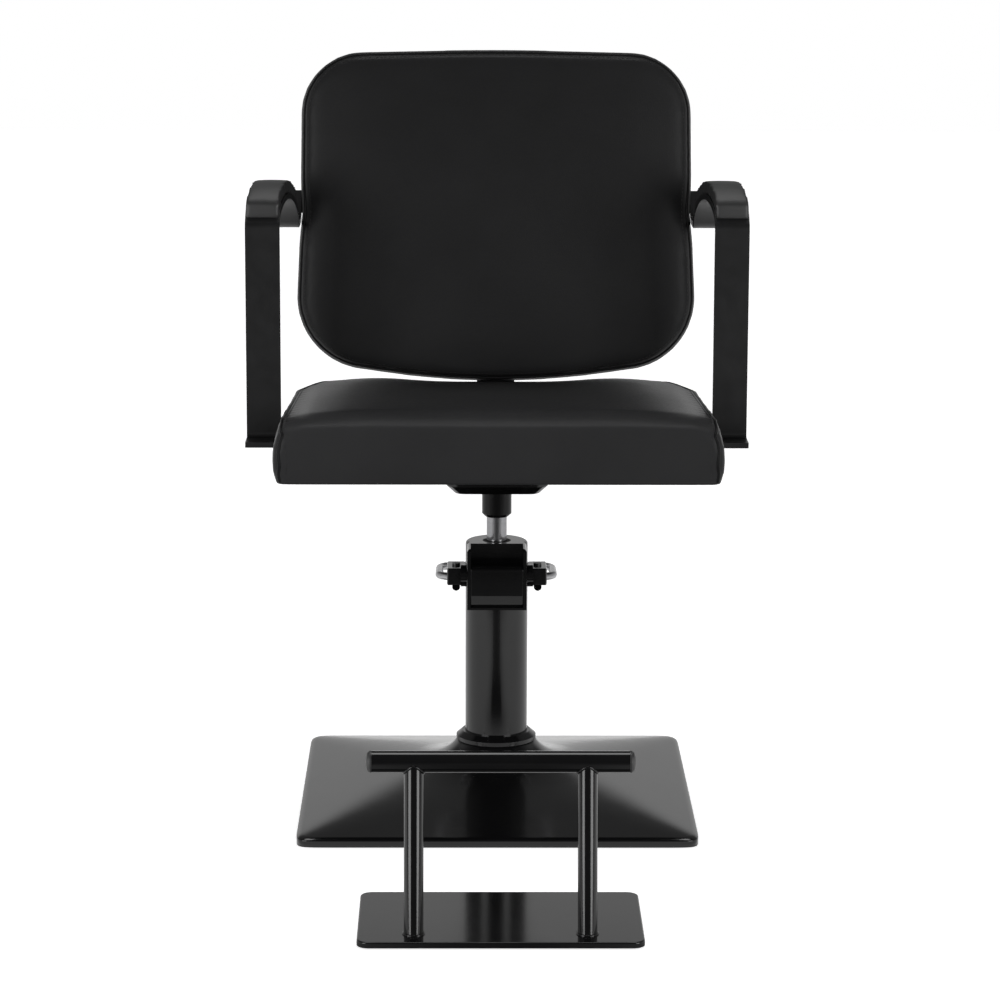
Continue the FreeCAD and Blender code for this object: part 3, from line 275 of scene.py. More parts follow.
def rounded_outline(corners, radii, step):
    """Points every step millimetres on the closed line that joins anticlockwise corners by
    straight runs and tangent arcs; returns (n, 2) places and (n, 2) outward normals."""
    corners = np.asarray(corners, float)
    before = np.roll(corners, 1, 0)
    after = np.roll(corners, -1, 0)
    d1 = corners - before
    d1 /= np.linalg.norm(d1, axis=1)[:, None]
    d2 = after - corners
    d2 /= np.linalg.norm(d2, axis=1)[:, None]
    n1 = np.stack([-d1[:, 1], d1[:, 0]], 1)
    n2 = np.stack([-d2[:, 1], d2[:, 0]], 1)
    cross = d1[:, 0] * d2[:, 1] - d1[:, 1] * d2[:, 0]
    side = np.sign(cross)
    half = np.arccos(np.clip((d1 * d2).sum(1), -1, 1)) / 2
    reach = np.asarray(radii, float) * np.tan(half)
    places, normals = [], []
    count = len(corners)
    for i in range(count):
        radius = radii[i]
        first = corners[i] - d1[i] * reach[i]
        centre = first + n1[i] * side[i] * radius
        n = max(3, int(round(2 * half[i] * radius / step)))
        turn = side[i] * np.linspace(0, 2 * half[i], n, endpoint=False)
        arm = first - centre
        c, s = np.cos(turn), np.sin(turn)
        spoke = np.stack([arm[0] * c - arm[1] * s, arm[0] * s + arm[1] * c], 1)
        places.append(centre + spoke)
        normals.append(spoke / radius * side[i])
        j = (i + 1) % count
        start = corners[i] + d2[i] * reach[i]
        end = corners[j] - d1[j] * reach[j]
        n = max(1, int(round(np.linalg.norm(end - start) / step)))
        t = np.linspace(0, 1, n, endpoint=False)[:, None]
        places.append(start + (end - start) * t)
        normals.append(np.repeat(-n2[i][None], n, 0))
    return np.concatenate(places), np.concatenate(normals)


def smooth_step(low, high, x):
    """0 below low, 1 above high, and the cubic 3t^2 - 2t^3 between."""
    t = np.clip((x - low) / (high - low), 0, 1)
    return t * t * (3 - 2 * t)


def smooth_through(run, values, at):
    """Monotone cubic through the values: at each knot the slope is the harmonic mean of its
    two neighbouring slopes, or zero where they differ in sign."""
    gaps = np.diff(run)
    slopes = np.diff(values) / gaps
    tangent = np.concatenate([slopes[:1], np.zeros(len(values) - 2), slopes[-1:]])
    both = slopes[:-1] * slopes[1:]
    same = both > 0
    tangent[1:-1][same] = 2 * both[same] / (slopes[:-1] + slopes[1:])[same]
    k = np.clip(np.searchsorted(run, at, "right") - 1, 0, len(gaps) - 1)
    t = (at - run[k]) / gaps[k]
    return ((1 + 2 * t) * (1 - t) ** 2 * values[k] + t * (1 - t) ** 2 * gaps[k] * tangent[k]
            + t * t * (3 - 2 * t) * values[k + 1] + t * t * (t - 1) * gaps[k] * tangent[k + 1])


def hump(x, middle, width):
    """The bell exp(-((x - middle) / width)^2)."""
    return np.exp(-((x - middle) / width) ** 2)


def place_back(points):
    """Upright back coordinates (across, depth, height) leaned about X and set on the back's
    foot: Y = foot + depth cos(lean) + height sin(lean), Z = foot + height cos - depth sin."""
    c, s = math.cos(BACK_LEAN), math.sin(BACK_LEAN)
    x, d, h = points[..., 0], points[..., 1], points[..., 2]
    return np.stack([x + BACK_FOOT[0], BACK_FOOT[1] + d * c + h * s,
                     BACK_FOOT[2] + h * c - d * s], -1)


def vertex_values(mesh, key):
    """A mesh's points or normals as an (n, 3) array."""
    out = np.empty(len(mesh.vertices) * 3, np.float32)
    mesh.vertices.foreach_get(key, out)
    return out.reshape(-1, 3).astype(float)


def coordinates(piece):
    """The piece's points in metres."""
    return vertex_values(piece.data, "co")


def set_coordinates(piece, co):
    """Moves the piece's points to places in metres."""
    piece.data.vertices.foreach_set("co", co.astype(np.float32).ravel())
    piece.data.update()


def remeshed(piece, voxel):
    """The piece's closed form as even quads of the voxel's size."""
    bpy.context.view_layer.objects.active = piece
    modifier = piece.modifiers.new("even", "REMESH")
    modifier.mode = "VOXEL"
    modifier.voxel_size = voxel
    modifier.use_smooth_shade = True
    apply_modifiers(piece)


def apply_modifiers(piece):
    """Gives the piece the mesh that its modifiers show."""
    depsgraph = bpy.context.evaluated_depsgraph_get()
    baked = bpy.data.meshes.new_from_object(piece.evaluated_get(depsgraph))
    old = piece.data
    piece.modifiers.clear()
    piece.data = baked
    bpy.data.meshes.remove(old)
    piece.data.shade_smooth()


def puffed(piece, held, pressure, cap, frames=16, stiffness=15.0, calm=150):
    """Cloth simulation of the cover: held points stay, the rest swells under pressure, and
    no point moves further than cap millimetres. The movement is averaged calm times over
    the cover, which leaves the swelling and takes out small folds."""
    start = coordinates(piece)
    group = piece.vertex_groups.new(name="held")
    group.add([int(i) for i in np.nonzero(held)[0]], 1.0, "REPLACE")
    cloth = piece.modifiers.new("puff", "CLOTH")
    settings = cloth.settings
    settings.quality = 6
    settings.mass = 0.3
    settings.tension_stiffness = stiffness
    settings.compression_stiffness = stiffness
    settings.shear_stiffness = 5.0
    settings.bending_stiffness = 0.5
    settings.use_pressure = True
    settings.uniform_pressure_force = pressure
    settings.vertex_group_mass = "held"
    settings.effector_weights.gravity = 0.0
    scene = bpy.context.scene
    for f in range(1, frames + 1):
        scene.frame_set(f)
    depsgraph = bpy.context.evaluated_depsgraph_get()
    shown = piece.evaluated_get(depsgraph)
    move = vertex_values(shown.data, "co") - start
    length = np.linalg.norm(move, axis=1)[:, None]
    move *= np.minimum(1.0, cap * MM / np.maximum(length, 1e-9))
    piece.modifiers.remove(cloth)
    piece.vertex_groups.remove(group)
    set_coordinates(piece, start + averaged(piece, move, calm, 0.5, held))
    scene.frame_set(1)


def averaged(piece, values, rounds, strength=0.5, keep=None):
    """Values at the piece's points, each moved the strength's share towards the mean of its
    neighbours' values, rounds times; points in keep hold theirs."""
    edges = np.empty(len(piece.data.edges) * 2, np.int32)
    piece.data.edges.foreach_get("vertices", edges)
    a, b = edges.reshape(-1, 2).T
    values = values.copy()
    count = np.bincount(a, minlength=len(values)) + np.bincount(b, minlength=len(values))
    for _ in range(rounds):
        total = np.empty_like(values)
        for k in range(3):
            total[:, k] = (np.bincount(a, values[b, k], len(values))
                           + np.bincount(b, values[a, k], len(values)))
        step = (total / np.maximum(count, 1)[:, None] - values) * strength
        if keep is not None:
            step[keep] = 0
        values += step
    return values


def eased(piece, rounds, strength=0.5, keep=None):
    """Points averaged with their neighbours, as averaged gives it."""
    set_coordinates(piece, averaged(piece, coordinates(piece), rounds, strength, keep))


def subdivided(piece, levels=1):
    """Rounds the piece's mesh by subdivision, alike in view and render."""
    modifier = piece.modifiers.new("finish", "SUBSURF")
    modifier.levels = levels
    modifier.render_levels = levels


def nearest_of(points, line):
    """For each point the number of the line's nearest point, worked out in blocks."""
    nearest = np.empty(len(points), int)
    for start in range(0, len(points), 4000):
        part = points[start:start + 4000]
        nearest[start:start + 4000] = ((part[:, None] - line[None]) ** 2).sum(2).argmin(1)
    return nearest


def distance_to(points, line):
    """Distance of each point to the nearest of a line's points."""
    return np.sqrt(((points - line[nearest_of(points, line)]) ** 2).sum(1))


def outside(points, ring, normals):
    """How far each point lies outside a plan outline, along the nearest place's normal."""
    nearest = nearest_of(points, ring)
    return ((points - ring[nearest]) * normals[nearest]).sum(1)


def on_surface(piece, path, lift):
    """Each path point (mm) moved to the nearest place of the piece and lifted off it by
    lift millimetres along the surface's normal."""
    tree = BVHTree.FromPolygons([v.co for v in piece.data.vertices],
                                [p.vertices for p in piece.data.polygons])
    found = []
    for p in path:
        place, normal, _, _ = tree.find_nearest(Vector(p) * MM)
        found.append(np.array(place + normal * lift * MM) / MM)
    return np.array(found)


def eased_path(path, rounds, closed):
    """Path points averaged with both neighbours, weights 1, 2, 1."""
    path = path.copy()
    for _ in range(rounds):
        mean = (np.roll(path, 1, 0) + 2 * path + np.roll(path, -1, 0)) / 4
        if not closed:
            mean[0], mean[-1] = path[0], path[-1]
        path = mean
    return path


# Materials

def node(tree, kind, **values):
    """A node of the kind, with each value on its socket, or else on its setting."""
    made = tree.nodes.new(kind)
    for key, value in values.items():
        if key in made.inputs:
            made.inputs[key].default_value = value
        else:
            setattr(made, key, value)
    return made


def new_material(name, colour, roughness, metallic=0.0, specular=0.5):
    """A principled surface with even values on its own sockets."""
    material = bpy.data.materials.new(name)
    material.use_nodes = True
    tree = material.node_tree
    shader = tree.nodes["Principled BSDF"]
    shader.inputs["Base Color"].default_value = (*colour, 1)
    shader.inputs["Roughness"].default_value = roughness
    shader.inputs["Metallic"].default_value = metallic
    shader.inputs["Specular IOR Level"].default_value = specular
    return material, tree, shader


def object_place(tree, scale=(1, 1, 1)):
    """Object coordinates, stretched by scale."""
    place = node(tree, "ShaderNodeTexCoord")
    stretch = node(tree, "ShaderNodeMapping", Scale=scale)
    tree.links.new(place.outputs["Object"], stretch.inputs["Vector"])
    return stretch.outputs["Vector"]


def noise(tree, place, scale, detail, roughness=0.5):
    """Cloudy noise from 0 to 1, of scale waves to the metre and detail finer ones."""
    made = node(tree, "ShaderNodeTexNoise", Scale=scale, Detail=detail, Roughness=roughness)
    tree.links.new(place, made.inputs["Vector"])
    return made.outputs["Fac"]


def cells(tree, place, **values):
    """Distance to the nearest of scattered cell middles."""
    made = node(tree, "ShaderNodeTexVoronoi", **values)
    tree.links.new(place, made.inputs["Vector"])
    return made.outputs["Distance"]


def ramp(tree, value, low, dark, high, light):
    """The colour that runs from dark at the value low to light at the value high."""
    made = node(tree, "ShaderNodeValToRGB")
    for element, at, colour in zip(made.color_ramp.elements, (low, high), (dark, light)):
        element.position = at
        element.color = (*colour, 1)
    tree.links.new(value, made.inputs["Fac"])
    return made.outputs["Color"]


def mapped(tree, value, **values):
    """The value carried from one range to another."""
    made = node(tree, "ShaderNodeMapRange", **values)
    tree.links.new(value, made.inputs["Value"])
    return made.outputs["Result"]


def spanned(tree, value, low, high):
    """A 0 to 1 value stretched to run from low to high."""
    return mapped(tree, value, **{"To Min": low, "To Max": high})


def comes_up(tree, value, low, high, top=1.0):
    """0 up to low, top from high on, and a smooth step between. High may be below low."""
    return mapped(tree, value, interpolation_type="SMOOTHSTEP",
                  **{"From Min": low, "From Max": high, "To Min": 0.0, "To Max": top})


def maths(tree, operation, a, b):
    """The operation's result for two values, each a socket or a number."""
    made = node(tree, "ShaderNodeMath", operation=operation)
    for value, socket in ((a, made.inputs[0]), (b, made.inputs[1])):
        if isinstance(value, float):
            socket.default_value = value
        else:
            tree.links.new(value, socket)
    return made.outputs["Value"]


def axes(tree, place):
    """The three coordinates of a place."""
    made = node(tree, "ShaderNodeSeparateXYZ")
    tree.links.new(place, made.inputs["Vector"])
    return [made.outputs[name] for name in "XYZ"]


def surfaced(tree, shader, colour, roughness, layers):
    """Links colour and roughness, and bump layers in a row, each of them (height, strength,
    distance in metres)."""
    tree.links.new(colour, shader.inputs["Base Color"])
    if roughness is not None:
        tree.links.new(roughness, shader.inputs["Roughness"])
    normal = None
    for height, strength, distance in layers:
        made = node(tree, "ShaderNodeBump", Strength=strength, Distance=distance)
        tree.links.new(height, made.inputs["Height"])
        if normal is not None:
            tree.links.new(normal, made.inputs["Normal"])
        normal = made.outputs["Normal"]
    tree.links.new(normal, shader.inputs["Normal"])


def leather(name, dark, light, roughness, specular):
    """Coated upholstery leather: pebbled cells about 1 mm wide with fine pores between, and
    slow changes of tone."""
    material, tree, shader = new_material(name, dark, roughness, specular=specular)
    place = object_place(tree)
    pebbles = cells(tree, place, feature="SMOOTH_F1", Scale=900.0, Smoothness=0.6)
    warp = noise(tree, place, 260.0, 4.0, 0.6)
    pores = noise(tree, place, 2200.0, 3.0, 0.7)
    slow = noise(tree, place, 7.0, 3.0)
    surfaced(tree, shader, ramp(tree, slow, 0.3, dark, 0.72, light),
             spanned(tree, warp, roughness - 0.06, roughness + 0.08),
             [(slow, 0.12, 0.004), (warp, 0.10, 0.0008), (pebbles, 0.22, 0.00035),
              (pores, 0.10, 0.0001)])
    return material


def enamel(name, dark, light, roughness, specular=0.5):
    """Baked paint on steel: fine orange peel, slow tone changes and faint rubbed patches."""
    material, tree, shader = new_material(name, dark, roughness, specular=specular)
    place = object_place(tree)
    peel = noise(tree, place, 420.0, 2.0)
    slow = noise(tree, place, 9.0, 4.0, 0.55)
    rub = noise(tree, place, 46.0, 6.0, 0.62)
    surfaced(tree, shader, ramp(tree, slow, 0.3, dark, 0.75, light),
             spanned(tree, rub, roughness * 0.75, roughness * 1.3),
             [(peel, 0.08, 0.0002), (slow, 0.05, 0.002)])
    return material


def moulded(name, dark, light, roughness, specular=0.4):
    """Skinned foam: a soft even mould texture with small pits."""
    material, tree, shader = new_material(name, dark, roughness, specular=specular)
    place = object_place(tree)
    skin = noise(tree, place, 900.0, 4.0, 0.65)
    pits = cells(tree, place, Scale=420.0)
    slow = noise(tree, place, 25.0, 3.0)
    surfaced(tree, shader, ramp(tree, slow, 0.3, dark, 0.7, light),
             spanned(tree, skin, roughness - 0.06, roughness + 0.08),
             [(slow, 0.06, 0.002), (skin, 0.16, 0.0002), (pits, 0.06, 0.0003)])
    return material


def metal(name, dark, light, roughness, grain, blackened=None):
    """Bright metal with fine machining lines: noise stretched by grain along each axis.
    Where Y is below the blackened limit the metal is nearly black."""
    material, tree, shader = new_material(name, light, roughness, metallic=1.0)
    lines = noise(tree, object_place(tree, grain), 10.0, 6.0, 0.7)
    smudge = noise(tree, object_place(tree), 30.0, 4.0)
    tone = ramp(tree, lines, 0.25, dark, 0.75, light)
    if blackened is not None:
        bright = mapped(tree, axes(tree, object_place(tree))[1],
                        **{"From Min": blackened, "From Max": blackened + 0.001})
        mix = node(tree, "ShaderNodeMix", data_type="RGBA")
        mix.inputs["A"].default_value = (0.012, 0.012, 0.012, 1)
        tree.links.new(bright, mix.inputs["Factor"])
        tree.links.new(tone, mix.inputs["B"])
        tone = mix.outputs["Result"]
    surfaced(tree, shader, tone, spanned(tree, smudge, roughness - 0.05, roughness + 0.1),
             [(lines, 0.05, 0.0002)])
    return material


def plywood(name):
    """Birch ply: long brown streaks on the faces and thin layers through the edge."""
    material, tree, shader = new_material(name, (0.42, 0.28, 0.15), 0.62)
    streaks = noise(tree, object_place(tree, (1.0, 14.0, 8.0)), 14.0, 8.0, 0.6)
    layers = node(tree, "ShaderNodeTexWave", Scale=95.0, Distortion=1.2, Detail=2.0,
                  bands_direction="Z")
    tree.links.new(object_place(tree), layers.inputs["Vector"])
    tone = node(tree, "ShaderNodeMix", data_type="RGBA", blend_type="MULTIPLY")
    tone.inputs["Factor"].default_value = 0.5
    tree.links.new(ramp(tree, streaks, 0.3, (0.30, 0.19, 0.10), 0.7, (0.55, 0.39, 0.23)),
                   tone.inputs["A"])
    tree.links.new(ramp(tree, layers.outputs["Fac"], 0.2, (0.55, 0.5, 0.45), 0.6, (1, 1, 1)),
                   tone.inputs["B"])
    surfaced(tree, shader, tone.outputs["Result"], None, [(streaks, 0.2, 0.0004)])
    return material


def grey(level, blue):
    """A grey whose blue is set apart."""
    return level, level, blue


# The seat, the back and the piping wear one black leather; their three colours paint light and
# shade on it: the seat's lighter colour is painted light, and the back's darker and the piping's
# darkest colours are painted shade.
seat_leather = leather("seat_leather", grey(0.0350, 0.0360), grey(0.0430, 0.0442), 0.32, 0.05)
back_leather = leather("back_leather", grey(0.0190, 0.0196), grey(0.0240, 0.0247), 0.42, 0.12)
piping_leather = leather("piping_leather", grey(0.0110, 0.0114), grey(0.0150, 0.0155), 0.36, 0.10)
arm_black = enamel("arm_black_enamel", grey(0.0115, 0.0119), grey(0.0155, 0.0160), 0.34)
satin_black = enamel("satin_black_enamel", grey(0.0050, 0.0053), grey(0.0075, 0.0078), 0.11)
hub_black = enamel("hub_black_enamel", grey(0.0050, 0.0053), grey(0.0075, 0.0078), 0.16, 0.22)
gloss_black = enamel("gloss_black_enamel", grey(0.0040, 0.0042), grey(0.0060, 0.0063), 0.13)
base_black = enamel("base_black_enamel", grey(0.0050, 0.0053), grey(0.0075, 0.0078), 0.13)
pad_skin = moulded("arm_pad_skin", grey(0.0105, 0.0108), grey(0.0150, 0.0154), 0.52, 0.9)
floor_rubber = moulded("floor_rubber", grey(0.016, 0.016), grey(0.026, 0.026), 0.7)
thread_black = moulded("black_thread", grey(0.012, 0.012), grey(0.020, 0.020), 0.55)
rod_chrome = metal("rod_chrome", grey(0.25, 0.26), grey(0.38, 0.39), 0.16, (1, 1, 40))
pedal_chrome = metal("pedal_zinc", grey(0.30, 0.31), grey(0.52, 0.53), 0.24, (6, 6, 6), -0.0475)
screw_steel = metal("blackened_screws", grey(0.05, 0.05), grey(0.10, 0.10), 0.35, (20, 20, 20))
machined_steel = metal("machined_steel", grey(0.30, 0.31), grey(0.50, 0.51), 0.32, (4, 4, 60))
bush_bronze = metal("bush_bronze", (0.42, 0.27, 0.10), (0.62, 0.43, 0.19), 0.34, (4, 4, 60))
board_plywood = plywood("birch_plywood")

DRESS = {
    arm_black: ["left_arm_band", "right_arm_band", "left_arm_rail", "right_arm_rail",
                "back_bar"],
    satin_black: ["pump_cylinder", "footrest_plate", "left_footrest_upright",
                  "right_footrest_upright", "footrest_bar", "base_plate", "collar_ring"],
    hub_black: ["seat_hub"],
    gloss_black: ["pump_head", "front_cover", "seat_plate", "left_lever_arm",
                  "right_lever_arm"],
    base_black: ["base_cover"],
    pad_skin: ["footrest_bar_caps"],
    floor_rubber: ["floor_pads", "footrest_pads", "wiper_seal", "piston_seals"],
    rod_chrome: ["piston_rod"],
    pedal_chrome: ["foot_pedal"],
    screw_steel: ["clamp_screws", "arm_pad_screws", "arm_rail_bolts", "arm_back_bolts",
                  "back_bar_bolts", "back_bar_seat_bolts", "seat_plate_bolts"],
    machined_steel: ["pump_flange", "lift_tube", "ram_piston", "pedal_shaft", "rocker_cam",
                     "shaft_spacers", "pump_plunger", "plunger_barrel", "plunger_spring",
                     "foot_valve", "flange_bolts"],
    bush_bronze: ["guide_bush", "thrust_washer"],
    board_plywood: ["seat_board", "back_board"],
}


def give_material(piece, material):
    """The piece wears this material alone."""
    piece.data.materials.clear()
    piece.data.materials.append(material)


def dress_nodes():
    """Gives the solids that stay in view their finish."""
    for material, names in DRESS.items():
        for name in names:
            give_material(nodes[name], material)


def dressed(piece, material, body, slot, *stands_for):
    """Gives a piece its finish, the body that it moves with, and the solids that it stands for. The
    slot is not used."""
    give_material(piece, material)
    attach(piece, body)
    if stands_for:
        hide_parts(*stands_for)


def piped(name, path, closed=False):
    """Piping of the upholstery along a path."""
    piping = tube_piece(name + "_piping", path, PIPING_RADIUS, 12, closed=closed)
    dressed(piping, piping_leather, "seat", "black_upholstery")


def stitched(name, path, closed=False):
    """A row of stitches along a path."""
    thread = stitches(name + "_stitches", path, STITCH_LENGTH, STITCH_GAP, STITCH_RADIUS, closed)
    dressed(thread, thread_black, "seat", "black_upholstery")


# Seat

def seat_outline(step=4.0):
    """The cushion's plan at the seams: places and outward normals, anticlockwise."""
    corners = [(-SEAT_HALF, SEAT_FRONT), (SEAT_HALF, SEAT_FRONT), (SEAT_REAR_HALF, SEAT_REAR),
               (-SEAT_REAR_HALF, SEAT_REAR)]
    return rounded_outline(corners, SEAT_CORNERS, step)


def edge_drop(distance, reach, fall):
    """Fall of a rounded edge as a quarter ellipse: fall (1 - sqrt(1 - s^2)), where s goes
    from 1 at the edge to 0 at the reach."""
    share = np.clip(1 - distance / reach, 0, 1)
    return fall * (1 - np.sqrt(1 - share ** 2))


def seat_height(x, y):
    """Top panel: a level that falls evenly to the rear, a crown of 1 - share^6 across the
    front that fades to the rear, two low swells at the rear, elliptic edges in front and
    behind, and a smooth fall along the sides. The share is 0 in the middle and 1 at the side
    seams."""
    rear = smooth_step(-190, 190, y)
    along = (y - SEAT_FRONT) / (SEAT_REAR - SEAT_FRONT)
    half = SEAT_HALF + (SEAT_REAR_HALF - SEAT_HALF) * along
    share = np.abs(x) / half
    level = SEAT_FRONT_TOP + (SEAT_REAR_TOP - SEAT_FRONT_TOP) * along
    crown = SEAT_CROWN * (1 - share ** 6) * (1 - rear)
    swells = rear * (5.0 * hump(share, 0.62, 0.25) + 0.8 * hump(share, 0.0, 0.3))
    front = edge_drop(y - SEAT_FRONT, *SEAT_FRONT_ROUNDING)
    back = edge_drop(SEAT_REAR - y, *SEAT_REAR_ROUNDING)
    sides = SEAT_SIDE_FALL[0] * smooth_step(SEAT_SIDE_FALL[1], 0.0, half - np.abs(x))
    return level + crown + swells - front - back - sides


def seat_form():
    """Rings: the underside, then the wall from the bottom edge up to the seam, swelling
    outward as sin(pi (0.12 + 0.88 v))^0.8 along the plan's normals, then the plan scaled
    towards its middle with the top panel's height. The swell is full at the sides and slight
    at the front."""
    ring, normals = seat_outline()
    middle = np.array([0.0, (SEAT_FRONT + SEAT_REAR) / 2])
    edge = seat_height(ring[:, 0], ring[:, 1])
    swell = SEAT_SIDE_BULGE * np.abs(normals[:, 0]) + SEAT_FRONT_BULGE * np.abs(normals[:, 1])
    low = SEAT_UNDERSIDE
    rows = []
    for share in SEAT_UNDER_SHARES:
        line = middle + (ring - middle) * share
        rows.append(np.column_stack([line, np.full(len(ring), low)]))
    for v in SEAT_WALL_SHARES:
        out = swell * np.sin(np.pi * min(0.985, 0.12 + 0.88 * v)) ** 0.8
        line = ring + normals * out[:, None]
        rows.append(np.column_stack([line, low + (edge - low) * v]))
    for inset in SEAT_TOP_INSETS:
        line = middle + (ring - middle) * (1 - inset / SEAT_TOP_SPAN)
        rows.append(np.column_stack([line, seat_height(line[:, 0], line[:, 1])]))
    return np.array(rows)


def seam_line(side):
    """The side seam: up the front corner, back along the side's upper edge and round the
    rear corner."""
    ring, normals = seat_outline(3.0)
    along = ring[(side * ring[:, 0] > SEAT_REAR_HALF - SEAT_CORNERS[2] - 1)
                 & (normals[:, 0] * side > 0.02)]
    along = along[np.argsort(along[:, 1] - 0.2 * side * along[:, 0])]
    top = np.column_stack([along, seat_height(along[:, 0], along[:, 1])])
    first = top[0]
    rise = np.linspace(SEAT_BOTTOM + 4.0, first[2] - 3.0, 16)
    front = np.column_stack([np.full(16, side * (SEAT_HALF - 1.0)),
                             np.full(16, SEAT_FRONT + 2.0), rise])
    return np.vstack([front, top[np.abs(top[:, 0]) > SEAT_REAR_HALF - 0.5 * SEAT_CORNERS[2]]])


def make_seat():
    """The cushion's form in even quads, its top set on the top panel's height, swelled as
    cloth with its seams and its foot held. Along the seams a groove of 1.3 exp(-(d / 3.2)^2)
    goes in, with puckers of a product of two sines beside it; piping and stitches follow."""
    cushion = grid_piece("seat_cushion_cover", seat_form())
    remeshed(cushion, SEAT_VOXEL)
    co = coordinates(cushion) / MM
    top = (outside(co[:, :2], *seat_outline()) < -2.5) & (co[:, 2] > SEAT_BOTTOM + 25)
    co[top, 2] = seat_height(co[top, 0], co[top, 1])
    set_coordinates(cushion, co * MM)
    seams = [seam_line(side) for side in (-1, 1)]
    gap = distance_to(coordinates(cushion) / MM, np.vstack(seams))
    held = (gap < SEAM_HOLD) | (coordinates(cushion)[:, 2] < (SEAT_BOTTOM + 5.0) * MM)
    puffed(cushion, held, PUFF_PRESSURE, PUFF_CAP)
    low = coordinates(cushion)[:, 2] < (SEAT_BOTTOM + 9.0) * MM
    eased(cushion, 2, 0.4, low)
    co = coordinates(cushion) / MM
    gap = distance_to(co, np.vstack(seams))
    along = co[:, 1] * 0.36 + co[:, 2] * 0.31
    pucker = np.sin(along) * np.sin(along * 0.37 + 1.3) * hump(gap, 8.0, 7.0)
    normals = vertex_values(cushion.data, "normal")
    lift = 0.5 * pucker - 1.3 * hump(gap, 0.0, 3.2)
    set_coordinates(cushion, (co + normals * lift[:, None]) * MM)
    subdivided(cushion)
    dressed(cushion, seat_leather, "seat", "black_upholstery", "seat_cushion")
    for line, side, name in ((seams[0], -1, "left_seat"), (seams[1], 1, "right_seat")):
        piped(name, eased_path(on_surface(cushion, line, 0.5), 4, False))
        inner = line - np.array([side * 6.5, 0, 0])
        stitched(name, eased_path(on_surface(cushion, inner, 0.1), 4, False))


# Back

def back_ring(step=5.0):
    """The back's outline: places and outward normals in (across, height)."""
    right = [(x * BACK_HALF, h * BACK_HEIGHT) for x, h in BACK_CORNER_SHARES]
    left = [(-x, h) for x, h in reversed(right[1:-1])]
    sides = BACK_CORNER_RADII[1:-1]
    radii = [BACK_CORNER_RADII[0], *sides, BACK_CORNER_RADII[-1], *reversed(sides)]
    return rounded_outline(right + left, radii, step)


def ring_rows(ring, normals, rows):
    """Rings at (inset, depth): the outline moved inward by the inset. Where the inset passes
    40 mm the ring is scaled towards the middle instead, so that it never crosses itself."""
    middle = np.array([0.0, BACK_HEIGHT / 2])
    made = []
    for inset, depth in rows:
        near = min(inset, 40.0)
        line = ring - normals * near
        if inset > near:
            line = middle + (line - middle) * (1 - (inset - near) / (BACK_HALF - 40.0))
        made.append(np.stack([line[:, 0], np.full(len(line), depth), line[:, 1]], -1))
    return np.array(made)


def back_front_depth(x, h):
    """Depth of the front face: a dome, a lower swell that supports the small of the back,
    and a pinch at each side where the arms pull the cover in."""
    across = x / BACK_HALF
    up = (h - BACK_HEIGHT / 2) / (BACK_HEIGHT / 2)
    dome = -9.0 * (1 - np.clip(0.55 * across ** 2 + 0.45 * up ** 2, 0, 1) ** 1.2)
    swell = -3.0 * hump(h, 130.0, 90.0) * (1 - across ** 2)
    pinch = 9.0 * hump(np.abs(x), BACK_HALF - 4, 34.0) * hump(h, 224.0, 32.0)
    return dome + swell + pinch


def make_back():
    """Rings (inset, depth) from the middle of the front over the edge to the middle behind,
    spread a little along the edge's normals and pinched at the arms, with the front face's
    depth on the first rows. It is set in even quads and swelled as cloth with its seam held.
    A groove of 1.1 exp(-(d / 3)^2) follows the seam, with puckers of a product of two
    sines beside it; piping and stitches follow."""
    ring, normals = back_ring()
    form = ring_rows(ring, normals, BACK_FORM)
    spread = BACK_SPREAD * np.clip(1 - np.maximum(normals[:, 1], 0) * 1.2, 0, 1)
    edge = hump(np.array([inset for inset, _ in BACK_FORM]), 0.0, 30.0)[:, None]
    form[..., 0] += edge * spread * normals[:, 0]
    form[..., 2] += edge * spread * normals[:, 1]
    x, h = form[..., 0], form[..., 2]
    front = (np.arange(len(BACK_FORM)) < BACK_FRONT_ROWS)[:, None]
    weight = front * smooth_step(11.0, 3.0, form[..., 1])
    form[..., 1] += weight * back_front_depth(x, h) - 3.0 * weight
    pinch = hump(h, 222.0, 22.0) * smooth_step(40.0, 6.0, np.abs(BACK_HALF - np.abs(x)))
    form[..., 0] -= np.sign(x) * 2.6 * pinch
    cushion = grid_piece("back_cushion_cover", place_back(form))
    remeshed(cushion, BACK_VOXEL)
    co = coordinates(cushion) / MM
    c, s = math.cos(BACK_LEAN), math.sin(BACK_LEAN)
    away = (co[:, 1] - BACK_FOOT[1]) * c - (co[:, 2] - BACK_FOOT[2]) * s
    seam_path = ring_rows(ring, normals, [BACK_SEAM])[0]
    seam_path[:, 0] += spread * normals[:, 0]
    seam_path[:, 2] += spread * normals[:, 1]
    seam_path = place_back(seam_path)
    held = (distance_to(co, seam_path) < SEAM_HOLD) | (away > BACK_DEPTH - 3.0)
    puffed(cushion, held, PUFF_PRESSURE, PUFF_CAP)
    eased(cushion, 2, 0.4)
    co = coordinates(cushion) / MM
    far = distance_to(co, seam_path)
    normal = vertex_values(cushion.data, "normal")
    along = np.arctan2(co[:, 2] - BACK_MIDDLE_Z, co[:, 0]) * 150.0
    wave = np.sin(along) * np.sin(along * 0.31 + 0.8)
    co = co + normal * (0.35 * wave * hump(far, 8.0, 7.0) - 1.1 * hump(far, 0.0, 3.0))[:, None]
    set_coordinates(cushion, co * MM)
    subdivided(cushion)
    dressed(cushion, back_leather, "seat", "black_upholstery", "back_cushion")
    piped("back", eased_path(on_surface(cushion, seam_path, 0.4), 2, True), True)
    inner = place_back(ring_rows(ring, normals, [BACK_STITCH_LINE])[0])
    stitched("back", eased_path(on_surface(cushion, inner, 0.1), 3, True), True)


